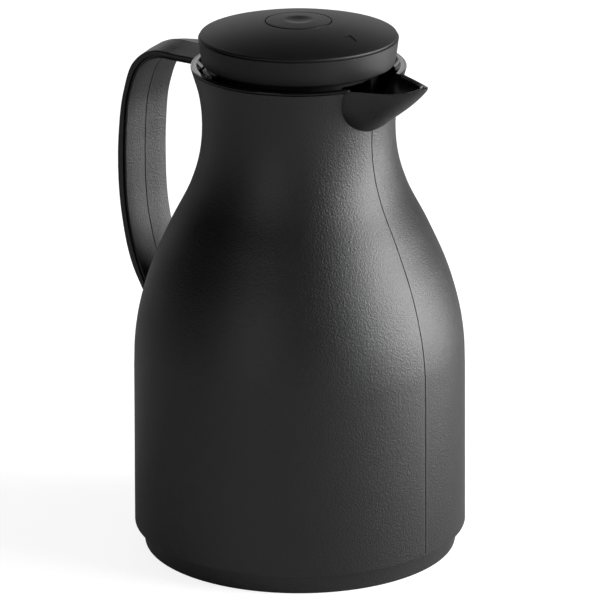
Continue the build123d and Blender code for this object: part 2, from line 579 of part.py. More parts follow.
# ---- stopper seal: silicone ring under the plug's floor ------------------------------------------
with BuildPart() as stopper_seal:
    revolve(box_face(spigot_r + RUN, plug_r - FIT, seat_z + RUN, floor_z - FIT / 2), axis=Axis.Z)
    fillet(stopper_seal.edges().filter_by(GeomType.CIRCLE), SEAL_EDGE_R)
stopper_seal.part.label = "stopper_seal"
export_step(stopper_seal.part, "parts/stopper_seal.step")

# ---- push button: flush cap with a thumb dimple, guide skirt, toothed plunger and stem socket ----
dimple_low_z = dome_top_z - DIMPLE_DEPTH
dimple_edge_z = dome_height(DIMPLE_R)
dimple_middle_z = dimple_low_z + (dimple_edge_z - dimple_low_z) / 4
with BuildSketch(Plane.XZ) as dimple:
    with BuildLine():
        hollow = ThreePointArc((0, dimple_low_z), (DIMPLE_R / 2, dimple_middle_z),
                               (DIMPLE_R, dimple_edge_z))
        Polyline(hollow @ 1, (DIMPLE_R, dome_top_z + CUT), (0, dome_top_z + CUT), hollow @ 0)
    make_face()
with BuildPart() as push_button:
    revolve(dome_face(lid_r, lid_edge_z, lid_bottom_r, lid_bottom_z, dome_top_z), axis=Axis.Z)
    skirt_bottom_z = guide_top_z + RUN + STROKE
    add(turned(box_face(0, button_r, skirt_bottom_z, dome_top_z + CUT)), mode=Mode.INTERSECT)
    plunger_inner_r = plunger_r - PLUNGER_WALL
    socket_outer_r = STEM_R + STEM_SOCKET_WALL
    under_plunger_z = plunger_end_z - CUT
    recess_top_z = plunger_end_z + PLUNGER_RECESS
    add(turned(box_face(0, button_r - BUTTON_WALL, skirt_bottom_z - CUT, stem_top_z)), mode=Mode.SUBTRACT)
    add(turned(box_face(0, plunger_r, plunger_end_z, stem_top_z)))
    add(turned(box_face(socket_outer_r, plunger_inner_r, under_plunger_z, stem_top_z)), mode=Mode.SUBTRACT)
    add(turned(box_face(0, STEM_R, under_plunger_z, stem_top_z)), mode=Mode.SUBTRACT)
    add(turned(box_face(0, plunger_inner_r, under_plunger_z, recess_top_z)), mode=Mode.SUBTRACT)
    add(turned(dimple.sketch), mode=Mode.SUBTRACT)
    circles = push_button.edges().filter_by(GeomType.CIRCLE).sort_by(Axis.Z)
    fillet(circles.filter_by(lambda edge: abs(edge.radius - button_r) < FIT)[-1], BUTTON_EDGE_R)
    with BuildSketch(Plane.XY.offset(plunger_end_z)):
        with PolarLocations(plunger_r, TOOTH_COUNT):
            Rectangle(2 * PLUNGER_WALL, tooth_width)
    extrude(amount=TOOTH_DEPTH, taper=TOOTH_TAPER, mode=Mode.SUBTRACT)
push_button.part.label = "push_button"
export_step(push_button.part, "parts/push_button.step")

# ---- latch: ribbed guide fixed in the well and the rotor that turns in it ------------------------
with BuildPart() as latch_guide:
    revolve(box_face(guide_inner_r, guide_outer_r, well_inside_z, deck_top_z), axis=Axis.Z)
    add(turned(box_face(guide_inner_r, guide_flange_r, deck_top_z, guide_top_z)))
    with BuildSketch(Plane.XY.offset(deck_top_z - RIB_REACH)):
        with PolarLocations(rib_inner_r, RIB_COUNT, start_angle=180 / RIB_COUNT):
            Rectangle(RIB_DEPTH + GUIDE_WALL / 2, RIB_WIDTH, align=(Align.MIN, Align.CENTER))
    extrude(amount=RIB_REACH + GUIDE_FLANGE)
latch_guide.part.label = "latch_guide"
export_step(latch_guide.part, "parts/latch_guide.step")

with BuildPart() as latch_rotor:
    revolve(box_face(STEM_R + RUN, plunger_r, rotor_bottom_z, rotor_top_z), axis=Axis.Z)
    with BuildSketch(Plane.XY.offset(rotor_bottom_z)):
        with PolarLocations(0, RIB_COUNT, start_angle=-ROTOR_TURN / 2):
            Rectangle(guide_inner_r - RUN, LUG_WIDTH, align=(Align.MIN, Align.CENTER))
        Circle(plunger_r - CUT, mode=Mode.SUBTRACT)
    extrude(amount=ROTOR_HEIGHT)
    with BuildSketch(Plane.XY.offset(rotor_top_z)):
        with PolarLocations(plunger_r, TOOTH_COUNT):
            Rectangle(2 * PLUNGER_WALL, tooth_width)
    extrude(amount=-TOOTH_DEPTH, taper=TOOTH_TAPER, mode=Mode.SUBTRACT)
latch_rotor.part.label = "latch_rotor"
export_step(latch_rotor.part, "parts/latch_rotor.step")

# ---- return spring, closed up by the stroke when the button is pressed ---------------------------
spring_low_z = well_inside_z + SPRING_WIRE / 2 + FIT
spring_high_z = rotor_bottom_z - SPRING_WIRE / 2 - FIT
spring_rise = spring_high_z - spring_low_z
with BuildPart() as return_spring:
    with BuildLine() as coil:
        Helix(spring_rise / SPRING_TURNS, spring_rise, spring_r, center=(0, 0, spring_low_z))
    with BuildSketch(Plane.XZ):
        with Locations((spring_r, spring_low_z)):
            Circle(SPRING_WIRE / 2)
    sweep(path=coil.wires()[0], is_frenet=True)
return_spring.part.label = "return_spring"
export_step(return_spring.part, "parts/return_spring.step")

# ---- valve: stem, the seal round it, the disc with its seal and the screw that holds them --------
with BuildPart() as valve_stem:
    revolve(box_face(0, STEM_R, valve_top_z, stem_top_z), axis=Axis.Z)
    add(turned(box_face(0, SCREW_R, valve_top_z - CUT, valve_top_z + SCREW_LENGTH)), mode=Mode.SUBTRACT)
    chamfer(valve_stem.edges().filter_by(GeomType.CIRCLE).sort_by(Axis.Z)[-1], STEM_CHAMFER)
valve_stem.part.label = "valve_stem"
export_step(valve_stem.part, "parts/valve_stem.step")

with BuildPart() as stem_seal:
    seal_outer_r = stem_seal_r + STEM_SEAL_WALL
    revolve(box_face(stem_seal_r, seal_outer_r, well_inside_z, well_inside_z + STEM_SEAL), axis=Axis.Z)
    fillet(stem_seal.edges().filter_by(GeomType.CIRCLE).sort_by(lambda edge: edge.radius)[-2:], SEAL_EDGE_R)
stem_seal.part.label = "stem_seal"
export_step(stem_seal.part, "parts/stem_seal.step")

with BuildPart() as valve_disc:
    revolve(box_face(SCREW_R + FIT, valve_r, valve_bottom_z, valve_top_z), axis=Axis.Z)
    circles = valve_disc.edges().filter_by(GeomType.CIRCLE)
    fillet(circles.filter_by(lambda edge: abs(edge.radius - valve_r) < FIT), VALVE_EDGE_R)
valve_disc.part.label = "valve_disc"
export_step(valve_disc.part, "parts/valve_disc.step")

with BuildPart() as valve_seal:
    revolve(box_face(STEM_R + CUT, valve_r - CUT / 2, valve_top_z, valve_seal_top_z), axis=Axis.Z)
valve_seal.part.label = "valve_seal"
export_step(valve_seal.part, "parts/valve_seal.step")

with BuildPart() as valve_screw:
    revolve(box_face(0, SCREW_R, valve_bottom_z, valve_top_z + SCREW_LENGTH - CUT), axis=Axis.Z)
    add(turned(box_face(0, SCREW_HEAD_R, valve_bottom_z - SCREW_HEAD, valve_bottom_z)))
    with BuildSketch(Plane.XY.offset(valve_bottom_z - SCREW_HEAD)):
        Rectangle(CROSS_LENGTH, CROSS_WIDTH)
        Rectangle(CROSS_WIDTH, CROSS_LENGTH)
    extrude(amount=SCREW_HEAD / 2, mode=Mode.SUBTRACT)
valve_screw.part.label = "valve_screw"
export_step(valve_screw.part, "parts/valve_screw.step")
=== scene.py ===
"""Thermal carafe: its visible pieces and their finishes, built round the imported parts.

Outlines are in millimetres, and a turned piece gives its own as (distance from the axis, height).
A mesh is in metres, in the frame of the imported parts: +Z up, the foot at zero, the spout along +X.
"""
import math

import bmesh
import bpy
from mathutils import Matrix, Vector


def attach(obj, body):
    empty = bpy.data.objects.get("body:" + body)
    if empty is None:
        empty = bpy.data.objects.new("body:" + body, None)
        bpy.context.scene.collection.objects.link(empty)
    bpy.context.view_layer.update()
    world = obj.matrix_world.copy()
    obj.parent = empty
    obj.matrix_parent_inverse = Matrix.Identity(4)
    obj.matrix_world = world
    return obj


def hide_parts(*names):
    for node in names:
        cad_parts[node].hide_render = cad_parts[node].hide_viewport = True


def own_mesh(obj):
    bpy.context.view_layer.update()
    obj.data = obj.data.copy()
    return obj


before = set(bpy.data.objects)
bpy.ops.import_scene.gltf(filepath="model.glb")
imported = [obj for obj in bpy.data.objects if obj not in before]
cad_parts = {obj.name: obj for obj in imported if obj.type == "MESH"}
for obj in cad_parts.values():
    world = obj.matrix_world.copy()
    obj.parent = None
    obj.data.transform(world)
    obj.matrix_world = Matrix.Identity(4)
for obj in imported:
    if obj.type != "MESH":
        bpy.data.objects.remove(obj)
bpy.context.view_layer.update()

MM = 0.001
AROUND = 256                      # faces round a large turned piece
FINE_AROUND = 96                  # and round a small one
SHARP = math.radians(32)          # edges that turn by more than this stay crisp
SAME_POINT = 1e-6                 # two points of a turned mesh that are this near, in metres, are one
SHORTEST_SPAN = 1e-6              # keeps a curve through two equal points from dividing by nought
CUT_CLEARANCE = 2.0               # how far a cutting shape stands out of what it cuts


# ---- outlines ------------------------------------------------------------------------------------
def arc(centre, radius, start, end, steps=6):
    """Points on an arc, with angles in degrees from the outward direction."""
    angles = [math.radians(start + (end - start) * i / steps) for i in range(steps + 1)]
    return [(centre[0] + radius * math.cos(a), centre[1] + radius * math.sin(a)) for a in angles]


def rounded_box(left, right, low, high, radius, steps):
    """Outline of a rectangle with rounded corners."""
    return (arc((right - radius, low + radius), radius, -90, 0, steps)
            + arc((right - radius, high - radius), radius, 0, 90, steps)
            + arc((left + radius, high - radius), radius, 90, 180, steps)
            + arc((left + radius, low + radius), radius, 180, 270, steps))


def smooth(points, steps=8):
    """Points on a smooth curve through the given ones, which may have any number of coordinates."""
    points = [Vector(p) for p in points]
    spans = [max((b - a).length, SHORTEST_SPAN) for a, b in zip(points, points[1:])]
    slopes = [(b - a) / d for a, b, d in zip(points, points[1:], spans)]
    tangents = [slopes[0]]
    for before, after, d0, d1 in zip(slopes, slopes[1:], spans, spans[1:]):
        tangents.append((before * d1 + after * d0) / (d0 + d1))
    tangents.append(slopes[-1])
    curve = [points[0]]
    for i, d in enumerate(spans):
        a, b, ta, tb = points[i], points[i + 1], tangents[i] * d, tangents[i + 1] * d
        for k in range(1, steps + 1):
            t = k / steps
            curve.append(a * (2 * t**3 - 3 * t**2 + 1) + ta * (t**3 - 2 * t**2 + t)
                         + b * (3 * t**2 - 2 * t**3) + tb * (t**3 - t**2))
    return [tuple(p) for p in curve]


# ---- meshes --------------------------------------------------------------------------------------
def turned(outline, steps=AROUND):
    """A turned mesh from an outline that is closed, or that starts and ends on the axis."""
    bm = bmesh.new()
    ring = [bm.verts.new((r * MM, 0, z * MM)) for r, z in outline]
    edges = [bm.edges.new(pair) for pair in zip(ring, ring[1:])]
    if outline[0][0] > 0:
        edges.append(bm.edges.new((ring[-1], ring[0])))
    bmesh.ops.spin(bm, geom=ring + edges, cent=(0, 0, 0), axis=(0, 0, 1), dvec=(0, 0, 0),
                   angle=2 * math.pi, steps=steps, use_merge=True)
    bmesh.ops.remove_doubles(bm, verts=bm.verts, dist=SAME_POINT)
    bmesh.ops.recalc_face_normals(bm, faces=bm.faces)
    return bm


def lofted(rings):
    """A closed mesh through rings of points in millimetres, all with the same number of points."""
    bm = bmesh.new()
    loops = []
    for ring in rings:
        verts = [bm.verts.new(Vector(p) * MM) for p in ring]
        loops.append([bm.edges.new(pair) for pair in zip(verts, verts[1:] + verts[:1])])
    for here, there in zip(loops, loops[1:]):
        bmesh.ops.bridge_loops(bm, edges=here + there)
    for end in (loops[0], loops[-1]):
        bmesh.ops.contextual_create(bm, geom=end)
    bmesh.ops.recalc_face_normals(bm, faces=bm.faces)
    return bm


def coiled(section, start, turns, rise, steps):
    """A closed mesh from a section that goes round the axis while it rises, with start in radians."""
    rings = []
    for i in range(steps + 1):
        turn = Matrix.Rotation(start + 2 * math.pi * turns * i / steps, 3, "Z")
        lift = Vector((0, 0, rise * i / steps))
        rings.append([turn @ Vector((r, 0, z)) + lift for r, z in section])
    return lofted(rings)


def extruded(outline, low, high):
    """A closed mesh from a flat outline (x, z), running from y = low to y = high."""
    bm = bmesh.new()
    face = bm.faces.new([bm.verts.new((x * MM, low * MM, z * MM)) for x, z in outline])
    pushed = bmesh.ops.extrude_face_region(bm, geom=[face])["geom"]
    verts = [v for v in pushed if isinstance(v, bmesh.types.BMVert)]
    bmesh.ops.translate(bm, verts=verts, vec=(0, (high - low) * MM, 0))
    bmesh.ops.recalc_face_normals(bm, faces=bm.faces)
    return bm


def as_object(bm, name):
    """An object in the scene with that mesh."""
    mesh = bpy.data.meshes.new(name)
    bm.to_mesh(mesh)
    bm.free()
    obj = bpy.data.objects.new(name, mesh)
    bpy.context.scene.collection.objects.link(obj)
    return obj


def combined(base, other, operation):
    """base after a "DIFFERENCE" or "UNION" with other. Both meshes are closed."""
    body, tool = as_object(base, "body"), as_object(other, "tool")
    modifier = body.modifiers.new("boolean", "BOOLEAN")
    modifier.operation, modifier.solver, modifier.object = operation, "EXACT", tool
    result = bmesh.new()
    result.from_object(body, bpy.context.evaluated_depsgraph_get())
    for obj in (body, tool):
        mesh = obj.data
        bpy.data.objects.remove(obj)
        bpy.data.meshes.remove(mesh)
    return result


def piece(bm, name, body, material, slot, *replaced):
    """The finished piece: shaded smooth with crisp corners, riding on its body."""
    for face in bm.faces:
        face.smooth = True
    for edge in bm.edges:
        edge.smooth = edge.is_manifold and edge.calc_face_angle(math.pi) < SHARP
    obj = as_object(bm, name)
    obj.data.materials.append(material)
    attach(obj, body)
    if replaced:
        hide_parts(*replaced)
    return obj


# ---- materials -----------------------------------------------------------------------------------
def linear(code):
    """A linear colour with alpha from an sRGB hex code."""
    channels = [int(code[i:i + 2], 16) / 255 for i in (1, 3, 5)]
    return [c / 12.92 if c <= 0.04045 else ((c + 0.055) / 1.055) ** 2.4 for c in channels] + [1.0]


def fill_sockets(tree, node, **inputs):
    """Gives each input, by its name or as i0 by its number, a value or another node's output."""
    for key, value in inputs.items():
        numbered = key[0] == "i" and key[1:].isdigit()
        socket = node.inputs[int(key[1:]) if numbered else key.replace("_", " ")]
        if isinstance(value, bpy.types.NodeSocket):
            tree.links.new(value, socket)
        else:
            socket.default_value = value


def add_node(tree, kind, settings=None, **inputs):
    """A node of that kind with its settings and links. A Mix node's two colours are its inputs 6
    and 7, and what it makes of them is its output 2.
    """
    node = tree.nodes.new(kind)
    for key, value in (settings or {}).items():
        setattr(node, key, value)
    fill_sockets(tree, node, **inputs)
    return node


def new_material(name):
    """An empty material, its node tree, its surface shader and its coordinates in metres."""
    material = bpy.data.materials.new(name)
    material.use_nodes = True
    tree = material.node_tree
    place = add_node(tree, "ShaderNodeTexCoord").outputs["Object"]
    return material, tree, tree.nodes["Principled BSDF"], place


def dress(tree, shader, pattern, colours, roughness, gloss_pattern=None):
    """Lets a pattern from 0 to 1 vary the colour and the roughness, or another one the roughness."""
    colour = add_node(tree, "ShaderNodeMix", {"data_type": "RGBA"}, i0=pattern,
                      i6=linear(colours[0]), i7=linear(colours[1]))
    rough = add_node(tree, "ShaderNodeMapRange", To_Min=roughness[0], To_Max=roughness[1],
                     Value=pattern if gloss_pattern is None else gloss_pattern)
    fill_sockets(tree, shader, Base_Color=colour.outputs[2], Roughness=rough.outputs["Result"])


def moulded_polypropylene(name, grain_mm, grain_depth_mm, roughness, specular):
    """Polypropylene from a spark-eroded mould: deep black, with an even grain that breaks up what
    it mirrors into soft patches, and wide clouds that are slightly glossier than what is beside them.
    """
    material, tree, shader, place = new_material(name)
    grain = add_node(tree, "ShaderNodeTexNoise", Vector=place, Scale=1 / (grain_mm * MM),
                     Detail=2.0, Roughness=0.6).outputs["Fac"]
    cloud = add_node(tree, "ShaderNodeTexNoise", Vector=place, Scale=1 / (30 * MM),
                     Detail=2.0).outputs["Fac"]
    dress(tree, shader, grain, ("#09090a", "#0f0f10"), roughness, gloss_pattern=cloud)
    bump = add_node(tree, "ShaderNodeBump", Height=grain, Strength=1.0,
                    Distance=grain_depth_mm * MM)
    fill_sockets(tree, shader, Normal=bump.outputs["Normal"], IOR=1.5, Specular_IOR_Level=specular)
    return material


def polished_abs():
    """ABS from a polished mould: nearly a black mirror, with the faint waves of a moulded face."""
    material, tree, shader, place = new_material("polished_abs")
    waves = add_node(tree, "ShaderNodeTexNoise", Vector=place, Scale=1 / (9 * MM),
                     Detail=1.0).outputs["Fac"]
    dress(tree, shader, waves, ("#060606", "#0b0b0b"), (0.08, 0.14))
    bump = add_node(tree, "ShaderNodeBump", Height=waves, Strength=0.2, Distance=0.05 * MM)
    fill_sockets(tree, shader, Normal=bump.outputs["Normal"], IOR=1.54, Specular_IOR_Level=0.35)
    return material


def plain_moulding(name, colours, roughness, ior, blotch_mm=6.0, subsurface=0.0):
    """A plain moulded or foamed surface: even at a glance, with slight blotches of colour and gloss."""
    material, tree, shader, place = new_material(name)
    blotch = add_node(tree, "ShaderNodeTexNoise", Vector=place, Scale=1 / (blotch_mm * MM),
                      Detail=3.0).outputs["Fac"]
    dress(tree, shader, blotch, colours, roughness)
    bump = add_node(tree, "ShaderNodeBump", Height=blotch, Strength=0.15, Distance=0.03 * MM)
    fill_sockets(tree, shader, Normal=bump.outputs["Normal"], IOR=ior,
                 Subsurface_Weight=subsurface, Subsurface_Scale=1 * MM)
    return material


def silvered_glass():
    """Blown glass silvered on its hidden side: a mirror with soft ripples and a slightly warm cast."""
    material, tree, shader, place = new_material("silvered_glass")
    ripple = add_node(tree, "ShaderNodeTexNoise", Vector=place, Scale=1 / (26 * MM),
                      Detail=2.0).outputs["Fac"]
    dress(tree, shader, ripple, ("#d6d4cf", "#e6e4df"), (0.04, 0.09))
    bump = add_node(tree, "ShaderNodeBump", Height=ripple, Strength=0.4, Distance=0.25 * MM)
    fill_sockets(tree, shader, Normal=bump.outputs["Normal"], Metallic=1.0)
    return material


def drawn_stainless():
    """Drawn stainless steel: scratches along the wire or shaft stretch its highlights. The real
    ones are too fine to show in the render, so these are wider.
    """
    material, tree, shader, place = new_material("drawn_stainless")
    width_mm, length_mm = 0.15, 4
    along = add_node(tree, "ShaderNodeMapping", Vector=place,
                     Scale=(1 / (width_mm * MM), 1 / (width_mm * MM), 1 / (length_mm * MM)))
    lines = add_node(tree, "ShaderNodeTexNoise", Vector=along.outputs["Vector"], Scale=1.0,
                     Detail=2.0).outputs["Fac"]
    dress(tree, shader, lines, ("#a9aaab", "#c6c7c8"), (0.22, 0.36))
    fill_sockets(tree, shader, Metallic=1.0)
    return material


# The casing, the handle and the foot. The real grain is too fine to show in the render, so it is
# drawn as coarse and as deep as it needs to show.
grained_black = moulded_polypropylene("moulded_polypropylene", 0.75, 0.2, (0.42, 0.46), 0.75)
# The lid and the button: the same plastic from a finer mould, duller and without a visible grain.
satin_black = moulded_polypropylene("satin_polypropylene", 0.5, 0.03, (0.5, 0.56), 0.55)
# The collar, which shines beside the dull casing.
glossy_black = polished_abs()
# The plug and the valve plate, of polypropylene from a smooth mould: dark grey, with a soft gloss.
smooth_black = plain_moulding("smooth_polypropylene", ("#151516", "#1e1e1f"), (0.32, 0.42), 1.49)
# The seals, of silicone rubber: milky and dull, with light that soaks a little way in.
silicone = plain_moulding("silicone_rubber", ("#9d9c97", "#aaa9a4"), (0.42, 0.5), 1.41,
                          subsurface=0.3)
# The cushions that hold the flask, of foamed rubber: pale, matt and mottled by its pores.
foam = plain_moulding("foamed_rubber", ("#bdbab2", "#cfccc4"), (0.8, 0.95), 1.45, blotch_mm=1.5)
# The pads between the bottles, of pressed fibre: dull and finely speckled.
fibre = plain_moulding("fibre_pad", ("#a8a194", "#bdb6a8"), (0.85, 0.95), 1.45, blotch_mm=0.8)
# The latch's pieces, of uncoloured acetal: a waxy off-white with a smooth sheen.
acetal = plain_moulding("natural_acetal", ("#dad8d2", "#e4e2dc"), (0.3, 0.4), 1.48, subsurface=0.1)
# The flask's two bottles.
mirror_glass = silvered_glass()
# The stem, the spring and the screw.
stainless = drawn_stainless()

# ---- casing: pear-shaped jacket with the spout ---------------------------------------------------
CASING_R, BASE_STEP_Z = 73.18, 9.4          # the widest place, at the step down to the base plate
CASING_WALL = 2.6
EDGE_ROUND = 0.4
SEAM_WIDTH, SEAM_DEPTH = 0.5, 0.4           # the line where the halves of the mould meet
NECK_TOP = (46.2, 215.4)
CASING_SIDE = [(72.55, 82.0), (72.05, 94.0), (70.65, 104.5), (68.2, 115.0), (65.1, 125.0),
               (56.4, 145.0), (46.6, 164.7), (43.4, 175.0), (41.75, 190.0), (42.9, 203.5), NECK_TOP]
SOCKET_R, SOCKET_TOP_Z = 68.5, 24.4         # where the base plate snaps in
SPOUT_ROOT_Z = 180.0                        # the spout's wall is cut away inside the neck above this
FLANGE_ROOM_R = 46.6                        # and above the neck's edge, where the collar's flange lies
OPEN_TOP_Z = 225.0                          # shapes that cut the neck open end well above it
CORNER_ROOM = 0.4                           # points of its side this near to a cut's corner are left out


def casing_outline(inset=0.0):
    """Side of the casing from the base step to the neck's edge, moved in by inset."""
    foot = (CASING_R - inset, BASE_STEP_Z + 2 * EDGE_ROUND)
    return [foot] + [(r - inset, z) for r, z in smooth(CASING_SIDE)]


def casing_part(inset, low, high):
    """The points of that outline between two heights."""
    return [(r, z) for r, z in casing_outline(inset) if low + CORNER_ROOM < z < high - CORNER_ROOM]


# ---- spout ---------------------------------------------------------------------------------------
# distance from the axis, half width, keel height, rim height
SPOUT_SECTIONS = [(30.0, 18.8, 194.0, 216.5), (42.0, 18.5, 195.3, 216.6), (50.0, 15.4, 200.6, 216.8),
                  (60.0, 11.1, 208.0, 217.0), (66.0, 7.2, 213.2, 217.7), (70.0, 3.3, 217.1, 218.9),
                  (71.4, 0.9, 218.9, 219.5)]
SPOUT_STATIONS = smooth(SPOUT_SECTIONS, steps=6)
SPOUT_WALL = 1.2
LINER_WALL = 1.1
SPOUT_ROUND = 0.88                          # share of a section's height that is rounded
RIM_SLOPE = 0.36                            # the rim leans in towards the trough
RIM_DROP = RIM_SLOPE * SPOUT_WALL
RIM_ROUND = [(0.0, 0.75), (0.08, 0.97), (0.2, 0.95)]    # shares of the way across the rim and up it
KEEL_SHARE, TIP_SHARE = 1.15, 1.5           # height at the keel, and length at the tip, that a wall
                                            # takes for each mm of its thickness
LEAST_SIDE, LEAST_DEPTH = 0.05, 0.15        # what is always left of a side's height, and of a liner's


def spout_side(station, inset, above=0.0, floor=0.0, steps=24):
    """Points of one section of the spout from rim to rim, moved in by inset."""
    x, half, keel, rim = station
    reach = (x - SPOUT_SECTIONS[0][0]) / (SPOUT_SECTIONS[-1][0] - SPOUT_SECTIONS[0][0])
    width = half - inset * (1 - reach)
    low = max(keel + KEEL_SHARE * inset * (1 - reach), floor)
    middle = min(low + SPOUT_ROUND * (rim - low), rim + above - LEAST_SIDE)
    x -= TIP_SHARE * inset * reach
    turns = [math.pi * i / steps for i in range(steps + 1)]
    bow = [(x, -width * math.cos(a), middle - (middle - low) * math.sin(a)) for a in turns]
    return [(x, -width, rim + above)] + bow + [(x, width, rim + above)]


def spout_solid(inset, above=0.0, floor=0.0, dish=0.0):
    """The spout's inside as a solid, whose top can sink towards its middle."""
    rings = []
    for station in SPOUT_STATIONS:
        ring = spout_side(station, inset, above, floor)
        x, half, rim = ring[-1]
        lowest = min(z for _, _, z in ring)
        rings.append(ring + [(x, 0, max(rim - dish * half, lowest + LEAST_DEPTH))])
    return lofted(rings)


def spout_shell():
    """The spout's wall, whose rim is rounded outside and slopes down to the trough."""
    rings = []
    up = Vector((0, 0, RIM_DROP))
    for station in SPOUT_STATIONS:
        outer = spout_side(station, 0, -RIM_DROP)
        inner = spout_side(station, SPOUT_WALL, -RIM_DROP)[::-1]
        tips = []
        for out, inn in ((outer[-1], inner[0]), (outer[0], inner[-1])):
            out, inn = Vector(out), Vector(inn)
            tips.append([out.lerp(inn, across) + up * height for across, height in RIM_ROUND])
        rings.append(outer + tips[0] + inner + tips[1][::-1])
    return lofted(rings)


def build_casing():
    """The jacket with its wall, the spout grown onto it and the seam of the mould."""
    edge = arc((CASING_R - EDGE_ROUND, BASE_STEP_Z + EDGE_ROUND), EDGE_ROUND, -90, 0)
    inside = casing_part(CASING_WALL, SOCKET_TOP_Z, OPEN_TOP_Z)[::-1]
    socket = [(CASING_R - CASING_WALL, SOCKET_TOP_Z), (SOCKET_R, SOCKET_TOP_Z), (SOCKET_R, BASE_STEP_Z)]
    shell = turned(edge + casing_outline()[1:] + inside + socket)
    # the cuts end half way into each wall, because faces that coincide leave a union open
    shell = combined(shell, spout_solid(SPOUT_WALL / 2, above=CUT_CLEARANCE), "DIFFERENCE")
    neck_inside = turned([(0, SPOUT_ROOT_Z)] + casing_part(CASING_WALL / 2, SPOUT_ROOT_Z, OPEN_TOP_Z)
                         + [(NECK_TOP[0] - CASING_WALL / 2, OPEN_TOP_Z), (0, OPEN_TOP_Z)])
    spout = combined(spout_shell(), neck_inside, "DIFFERENCE")
    above_neck = turned([(0, NECK_TOP[1]), (FLANGE_ROOM_R, NECK_TOP[1]), (FLANGE_ROOM_R, OPEN_TOP_Z),
                         (0, OPEN_TOP_Z)])
    spout = combined(spout, above_neck, "DIFFERENCE")
    shell = combined(shell, spout, "UNION")
    for side in (1, -1):
        line = casing_outline(-CUT_CLEARANCE / 2) + casing_outline(SEAM_DEPTH)[::-1]
        groove = extruded([(side * r, z) for r, z in line], -SEAM_WIDTH / 2, SEAM_WIDTH / 2)
        shell = combined(shell, groove, "DIFFERENCE")
    piece(shell, "casing_jacket", "vessel", grained_black, "casing_black", "casing")


# ---- handle: a wide band with a crowned outer face and a slightly hollow inner one ---------------
HANDLE_WIDTH = 26.0
HANDLE_ROOT = 1.0                           # how deep its ends go into the casing's wall
OUTER_CORNER, INNER_CORNER = 0.7, 0.4
SIDE_GROOVE = (0.45, 1.9, 1.0)              # its two edges above the inner face, and its depth
GROOVE_SLOPE = 0.25                         # how far each of its walls leans
INNER_HOLLOW = 0.6
HOLLOW_SHARE, CROWN_SHARE = 0.55, 0.58      # what is left of the hollow and the crown half way out
HANDLE_OUTSIDE = [(-41.0, 213.6), (-62.0, 212.7), (-74.0, 212.3), (-80.6, 209.7), (-86.8, 204.4),
                  (-92.8, 190.4), (-96.3, 170.0), (-96.95, 158.0), (-95.1, 132.5), (-89.3, 111.2),
                  (-80.4, 96.5), (-70.8, 81.8)]
HANDLE_INSIDE = [(-41.0, 210.4), (-62.0, 209.7), (-71.5, 209.1), (-77.0, 207.0), (-82.0, 203.0),
                 (-88.2, 190.4), (-91.2, 170.0), (-91.6, 158.0), (-90.2, 133.5), (-84.5, 113.4),
                 (-77.3, 99.5), (-68.7, 87.2)]
CROWN = [2.7, 2.7, 2.7, 2.6, 2.3, 1.2, 0.2, 0.0, 0.0, 0.0, 0.0, 0.0]


def band_section(outside, inside, crown):
    """Points round one section of the band."""
    low, high = Vector((inside[0], 0, inside[1])), Vector((outside[0], 0, outside[1]))
    thick, half = (high - low).length, HANDLE_WIDTH / 2
    inner = [(INNER_CORNER - half, 0), (-half / 2, INNER_HOLLOW * HOLLOW_SHARE),
             (-SEAM_WIDTH / 2, INNER_HOLLOW), (0, INNER_HOLLOW + SEAM_DEPTH)]
    outer = [(OUTER_CORNER - half, 0), (-half / 2, crown * CROWN_SHARE),
             (-SEAM_WIDTH / 2, crown), (0, crown - SEAM_DEPTH)]
    inner += [(-y, up) for y, up in inner[-2::-1]]
    outer = [(-y, thick + up) for y, up in outer] + [(y, thick + up) for y, up in outer[-2::-1]]
    r, q = INNER_CORNER, OUTER_CORNER
    near, far, deep = SIDE_GROOVE
    groove = [(half, near), (half - deep, near + GROOVE_SLOPE), (half - deep, far - GROOVE_SLOPE),
              (half, far)]
    side = arc((half - r, r), r, -90, 0) + groove + arc((half - q, thick - q), q, 0, 90)
    other_side = [(-y, up) for y, up in side[::-1]]
    flat = inner[:-1] + side[:-1] + outer[:-1] + other_side[:-1]
    across = (high - low) / thick
    return [low + Vector((0, y, 0)) + across * up for y, up in flat]


def build_handle():
    """The band from the neck down to the casing's side."""
    crowned = [(x, z, crown) for (x, z), crown in zip(HANDLE_OUTSIDE, CROWN)]
    outsides, insides = smooth(crowned, 10), smooth(HANDLE_INSIDE, 10)
    band = lofted([band_section(out[:2], inn, out[2]) for out, inn in zip(outsides, insides)])
    casing_solid = turned([(0, BASE_STEP_Z)] + casing_outline(HANDLE_ROOT) + [(0, NECK_TOP[1])])
    band = combined(band, casing_solid, "DIFFERENCE")
    piece(band, "handle_band", "vessel", grained_black, "casing_black", "handle")


# ---- threads of the collar and the plug ----------------------------------------------------------
THREAD_STARTS, THREAD_LEAD, THREAD_ARC = 3, 30.0, 60.0
THREAD_START_Z = 194.4                      # where a ridge of the collar starts
THREAD_ROOT_HEIGHT, THREAD_TIP_HEIGHT, THREAD_DEPTH = 1.9, 1.1, 1.9
THREAD_SUNK = 0.5                           # how deep a ridge's root goes into its wall
THREAD_STEPS = 24


def with_ridges(body, root_r, outward, start_z, start_angle):
    """body with a ridge for each start of the thread, on a wall of radius root_r."""
    sign = 1 if outward else -1
    root, tip = root_r - sign * THREAD_SUNK, root_r + sign * THREAD_DEPTH
    section = [(root, start_z - THREAD_ROOT_HEIGHT / 2), (tip, start_z - THREAD_TIP_HEIGHT / 2),
               (tip, start_z + THREAD_TIP_HEIGHT / 2), (root, start_z + THREAD_ROOT_HEIGHT / 2)]
    turns = THREAD_ARC / 360
    for i in range(THREAD_STARTS):
        start = math.radians(start_angle + 360 / THREAD_STARTS * i)
        ridge = coiled(section, start, turns, THREAD_LEAD * turns, THREAD_STEPS)
        body = combined(body, ridge, "UNION")
    return body


